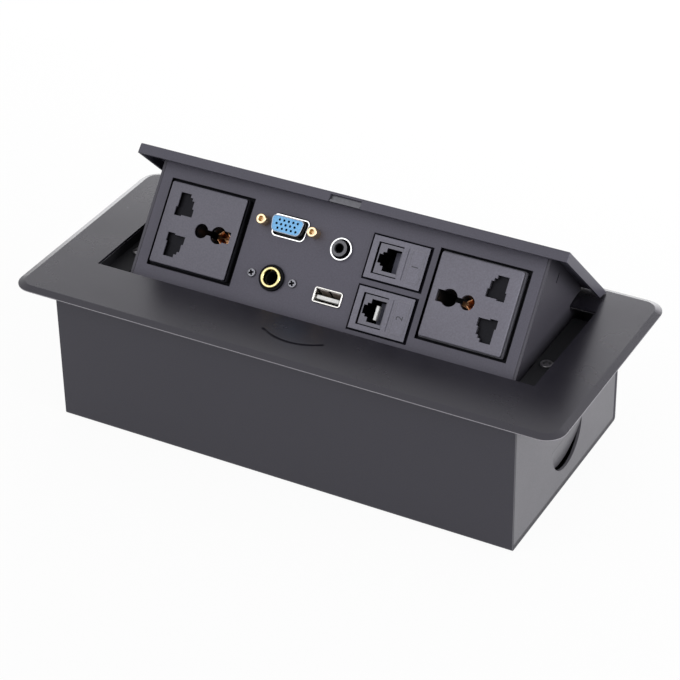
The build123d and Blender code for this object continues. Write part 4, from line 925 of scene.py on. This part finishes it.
# %% Step round each plate
# The left step is painted shade, the right one painted light.
for side, name, tone in (
    (1, "socket_step_right", lit_step),
    (-1, "socket_step_left", shaded_step),
):
    step = rounded_prism(name, 38.5, 37.4, 0, corner=0.8, low=-2.4, high=1.2, segments=4)
    bore_through(step, wall=0.42)
    round_edges(step, 0.12, 2)
    seat(step, on_panel, side * socket_x, socket_y, 0, "tilt_unit", "socket_grey", 30)
    step.data.materials[0] = tone
print("each step has", len(step.data.polygons), "faces")

# %% [markdown]
# Deep in each socket sits the earth spring: four copper leaves round one of the two earth
# openings, and a bar that reaches across to the other. A leaf starts as a small plane and is
# extruded down in steps that bend it inwards and out again. One leaf is modelled, and its
# copies are turned round the middle of the opening.

# %% Copper leaves of a socket
leaf_steps = ((-0.5, 0, -0.8), (-0.9, 0, -2.4), (0.6, 0, -2.6), (0.6, 0, -6.0))
leaf_angles = [math.radians(degrees) for degrees in (45, 135, 225, 315)]


def copper_leaf(reach):
    let_go()
    bpy.ops.mesh.primitive_plane_add(size=1, location=(reach - 0.5, 0, -3.4))
    leaf = bpy.context.object
    leaf.scale = (0.3, 2.6, 1)
    bpy.ops.object.transform_apply(location=True, scale=True)
    open_faces(leaf, all_faces)
    for step in leaf_steps:
        bpy.ops.mesh.extrude_region_move(TRANSFORM_OT_translate={"value": step})
        bpy.ops.transform.resize(value=(1, 0.9, 1))
    close_edit()
    return leaf


def copper_leaves(name, side, middle, reach):
    """Four leaves round the opening at middle, and a bar across to the other opening."""
    first = copper_leaf(reach)
    leaves = [first] + [copy_piece(first, "leaf") for angle in leaf_angles[1:]]
    for leaf, angle in zip(leaves, leaf_angles):
        leaf.matrix_world = Matrix.Translation((middle, 0, 0)) @ Matrix.Rotation(angle, 4, "Z")
        hold(leaf)
        bpy.ops.object.transform_apply(location=True, rotation=True, scale=True)
    bar = block(centre=(-5.9, 0, -15.4), size=(9.5, 3.0, 0.8))
    spring = join(leaves + [bar], name)
    round_edges(spring, 0.08, 2)
    if side < 0:
        spring.matrix_world = half_turn @ spring.matrix_world
    return seat(spring, on_panel, side * socket_x, socket_y, 0, "tilt_unit", "contact_copper")


# %% Earth springs of both sockets
right_spring = copper_leaves("earth_leaves_right", side=1, middle=small_earth, reach=2.7)
left_spring = copper_leaves("earth_leaves_left", side=-1, middle=large_earth, reach=3.3)
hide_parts("earth_contact_right")
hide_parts("earth_contact_left")
print("earth springs have", len(right_spring.data.polygons), "faces each")

# %% [markdown]
# The data outlets carry a small plain number each, printed dark in the label field and turned
# on its side. A text object stays sharp from close by and needs no picture. It is given a hair
# of thickness and made a mesh.

# %% Printed numbers
digit_size, half_ink, field_level = 4.4, 0.015, 1.01
for number, (place, middle) in enumerate(data_outlets, 1):
    let_go()
    bpy.ops.object.text_add(location=(0, 0, 0))
    mark = bpy.context.object
    mark.data.body = str(number)
    mark.data.size = digit_size
    mark.data.align_x = "CENTER"
    mark.data.align_y = "CENTER"
    mark.data.extrude = half_ink
    hold(mark)
    bpy.ops.object.convert(target="MESH")
    mark = bpy.context.object
    mark.name = "outlet_number_" + str(number)
    mark.rotation_euler = (0, 0, math.radians(90))
    bpy.ops.object.transform_apply(rotation=True)
    seat(mark, on_panel, label_x, -middle, field_level, "tilt_unit", "socket_grey")
    mark.data.materials[0] = print_dark
print("numbers are", digit_size, "mm in size")

# %% [markdown]
# Cables leave the box through a rubber grommet in the back wall: a ring with two soft lips and
# a groove for the sheet. A turned ring gives both lips. Two bisecting planes mark the groove,
# and the faces between them are pulled in.

# %% Grommet
grommet_place = Vector((-60, 53.55, 22)) * MM
groove_low, groove_high, groove_share = 0.0, 1.2, 0.795
grommet = turned_ring(
    "cable_grommet_ring", outer=10, inner=5.5, low=-2.0, high=3.2, lip=0.1, sides=48
)
hold(grommet)
bpy.ops.object.mode_set(mode="EDIT")
for height in (groove_low, groove_high):
    bpy.ops.mesh.select_all(action="SELECT")
    bpy.ops.mesh.bisect(plane_co=(0, 0, height), plane_no=(0, 0, 1))
close_edit()


def groove_faces(centre, normal):
    outside = math.hypot(centre.x, centre.y) > 8
    return outside and groove_low < centre.z < groove_high and abs(normal.z) < 0.3


open_faces(grommet, groove_faces)
bpy.ops.transform.resize(value=(groove_share, groove_share, 1))
close_edit()
round_edges(grommet, 0.5, 3, 50)
backward = Matrix.Translation(grommet_place) @ Matrix.Rotation(math.radians(-90), 4, "X")
seat(grommet, backward, 0, 0, 0, "housing", "black_rubber")
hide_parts("cable_grommet")
print("grommet has", len(grommet.data.polygons), "faces")

# %% [markdown]
# The spring under the latch blade gives way when the blade is pressed. It stands in the housing
# and its top moves with the blade. A copy of the solid's mesh takes its place, with a mesh of
# its own, and rides with the housing.

# %% Latch spring
latch_coil = bpy.data.objects.new("latch_coil", frame["nodes"]["latch_spring"].data.copy())
scene.collection.objects.link(latch_coil)
in_metres = Matrix.Scale(1 / MM, 4)
seat(latch_coil, in_metres, 0, 0, 0, "housing", "bright_steel", 50)
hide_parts("latch_spring")
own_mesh(latch_coil)

# %% [markdown]
# The photograph was taken on a pale table in a white tent. The floor is a matt sheet that takes
# the object's shadow. To the camera, and in part to reflections, it also glows a plain white,
# which whitens the picture without putting more light on the object.


# %% Helpers for light shaders
def white_glow(nodes, kind, strength):
    glow = nodes.new(kind)
    glow.inputs["Color"].default_value = (1, 1, 1, 1)
    glow.inputs["Strength"].default_value = strength
    return glow


def combine(nodes, links, operation, first, second):
    """A Math node fed by a socket and by a socket or a number."""
    reckon = nodes.new("ShaderNodeMath")
    reckon.operation = operation
    links.new(first, reckon.inputs[0])
    if isinstance(second, float):
        reckon.inputs[1].default_value = second
    else:
        links.new(second, reckon.inputs[1])
    return reckon.outputs[0]


def blend(nodes, links, share, first, second):
    mix = nodes.new("ShaderNodeMixShader")
    links.new(share, mix.inputs["Fac"])
    links.new(first, mix.inputs[1])
    links.new(second, mix.inputs[2])
    return mix.outputs[0]


# %% Floor
camera_share, mirror_share = 0.94, 0.5
just_below = -0.0004
let_go()
bpy.ops.mesh.primitive_plane_add(size=8, location=(0, 0, just_below))
floor = bpy.context.object
floor.name = "floor"
pale = bpy.data.materials.new("pale_floor")
pale.use_nodes = True
nodes, links = pale.node_tree.nodes, pale.node_tree.links
matt = nodes["Principled BSDF"]
matt.inputs["Base Color"].default_value = (0.88, 0.88, 0.88, 1)
matt.inputs["Roughness"].default_value = 0.9
white = white_glow(nodes, "ShaderNodeEmission", 1.0)
ray = nodes.new("ShaderNodeLightPath")
seen = combine(nodes, links, "MULTIPLY", ray.outputs["Is Camera Ray"], camera_share)
mirrored = combine(nodes, links, "MULTIPLY", ray.outputs["Is Glossy Ray"], mirror_share)
share = combine(nodes, links, "MAXIMUM", seen, mirrored)
mixed = blend(nodes, links, share, matt.outputs[0], white.outputs[0])
links.new(mixed, nodes["Material Output"].inputs["Surface"])
floor.data.materials.append(pale)
print("floor shows white to the camera at a share of", camera_share)

# %% [markdown]
# The tent gives weak light from all round, yet looks white itself. So the world has one
# strength for the light that it casts, and a strength of 1 for the camera and for reflections.

# %% World
tent_light = 0.38
world = bpy.data.worlds.new("tent")
scene.world = world
world.use_nodes = True
nodes, links = world.node_tree.nodes, world.node_tree.links
cast = nodes["Background"]
cast.inputs["Color"].default_value = (1, 1, 1, 1)
cast.inputs["Strength"].default_value = tent_light
shown = white_glow(nodes, "ShaderNodeBackground", 1.0)
ray = nodes.new("ShaderNodeLightPath")
either = combine(
    nodes, links, "MAXIMUM", ray.outputs["Is Camera Ray"], ray.outputs["Is Glossy Ray"]
)
mixed = blend(nodes, links, either, cast.outputs[0], shown.outputs[0])
links.new(mixed, nodes["World Output"].inputs["Surface"])
print("tent casts light at a strength of", tent_light)

# %% [markdown]
# Three soft lamps do the rest. A large one high in front lights the panel, one on the right
# lights the end plate, and a low screen behind the object is mirrored in the far borders of
# the frame. They are large, so that no hard spot shows on the bright rings, and weak enough for
# a colour to render about as it is written.


# %% Lamps
aimed_at = Vector((0, 0, 0.03))


def soft_lamp(name, place, size, power):
    lamp = bpy.data.lights.new(name, "AREA")
    lamp.shape = "SQUARE"
    lamp.size = size
    lamp.energy = power
    holder = bpy.data.objects.new(name, lamp)
    scene.collection.objects.link(holder)
    holder.location = place
    aim = aimed_at - Vector(place)
    holder.rotation_euler = aim.to_track_quat("-Z", "Y").to_euler()
    return holder


soft_lamp("lamp_front", place=(-0.5, -1.3, 1.25), size=2.0, power=14)
soft_lamp("lamp_right", place=(1.6, -0.1, 0.36), size=1.3, power=26)
low_screen = soft_lamp("lamp_back", place=(-0.15, 0.52, 0.165), size=1.1, power=2.9)
low_screen.data.shape = "RECTANGLE"
low_screen.data.size_y = 0.33
low_screen.rotation_euler = (math.radians(-90), 0, 0)
low_screen.visible_camera = False
print(len(bpy.data.lights), "lamps")

# %% [markdown]
# The camera stands where the photograph was taken from, found from the straight edges of the
# frame and the box. A tiny turn about its own axis matches the picture's tilt.

# %% Camera
camera_place = Vector((0.43587, -0.78821, 0.62565))
turn, rise, roll = math.radians(28.558), math.radians(32.902), math.radians(-0.756)
flat = math.cos(rise)
back = Vector((math.sin(turn) * flat, -math.cos(turn) * flat, math.sin(rise)))
right = Vector((math.cos(turn), math.sin(turn), 0))
up = back.cross(right)
across = right * math.cos(roll) + up * math.sin(roll)
over = -right * math.sin(roll) + up * math.cos(roll)

lens = bpy.data.cameras.new("camera")
lens.lens = 131.0
lens.sensor_width = 36
lens.shift_x = -0.0163
lens.shift_y = -0.0061
lens.clip_start = 0.05
lens.clip_end = 20
camera = bpy.data.objects.new("camera", lens)
scene.collection.objects.link(camera)
stand = Matrix((across, over, back)).transposed().to_4x4()
stand.translation = camera_place
camera.matrix_world = stand
scene.camera = camera
scene.view_settings.view_transform = "Standard"
print("camera stands", round(camera_place.length, 2), "m away")
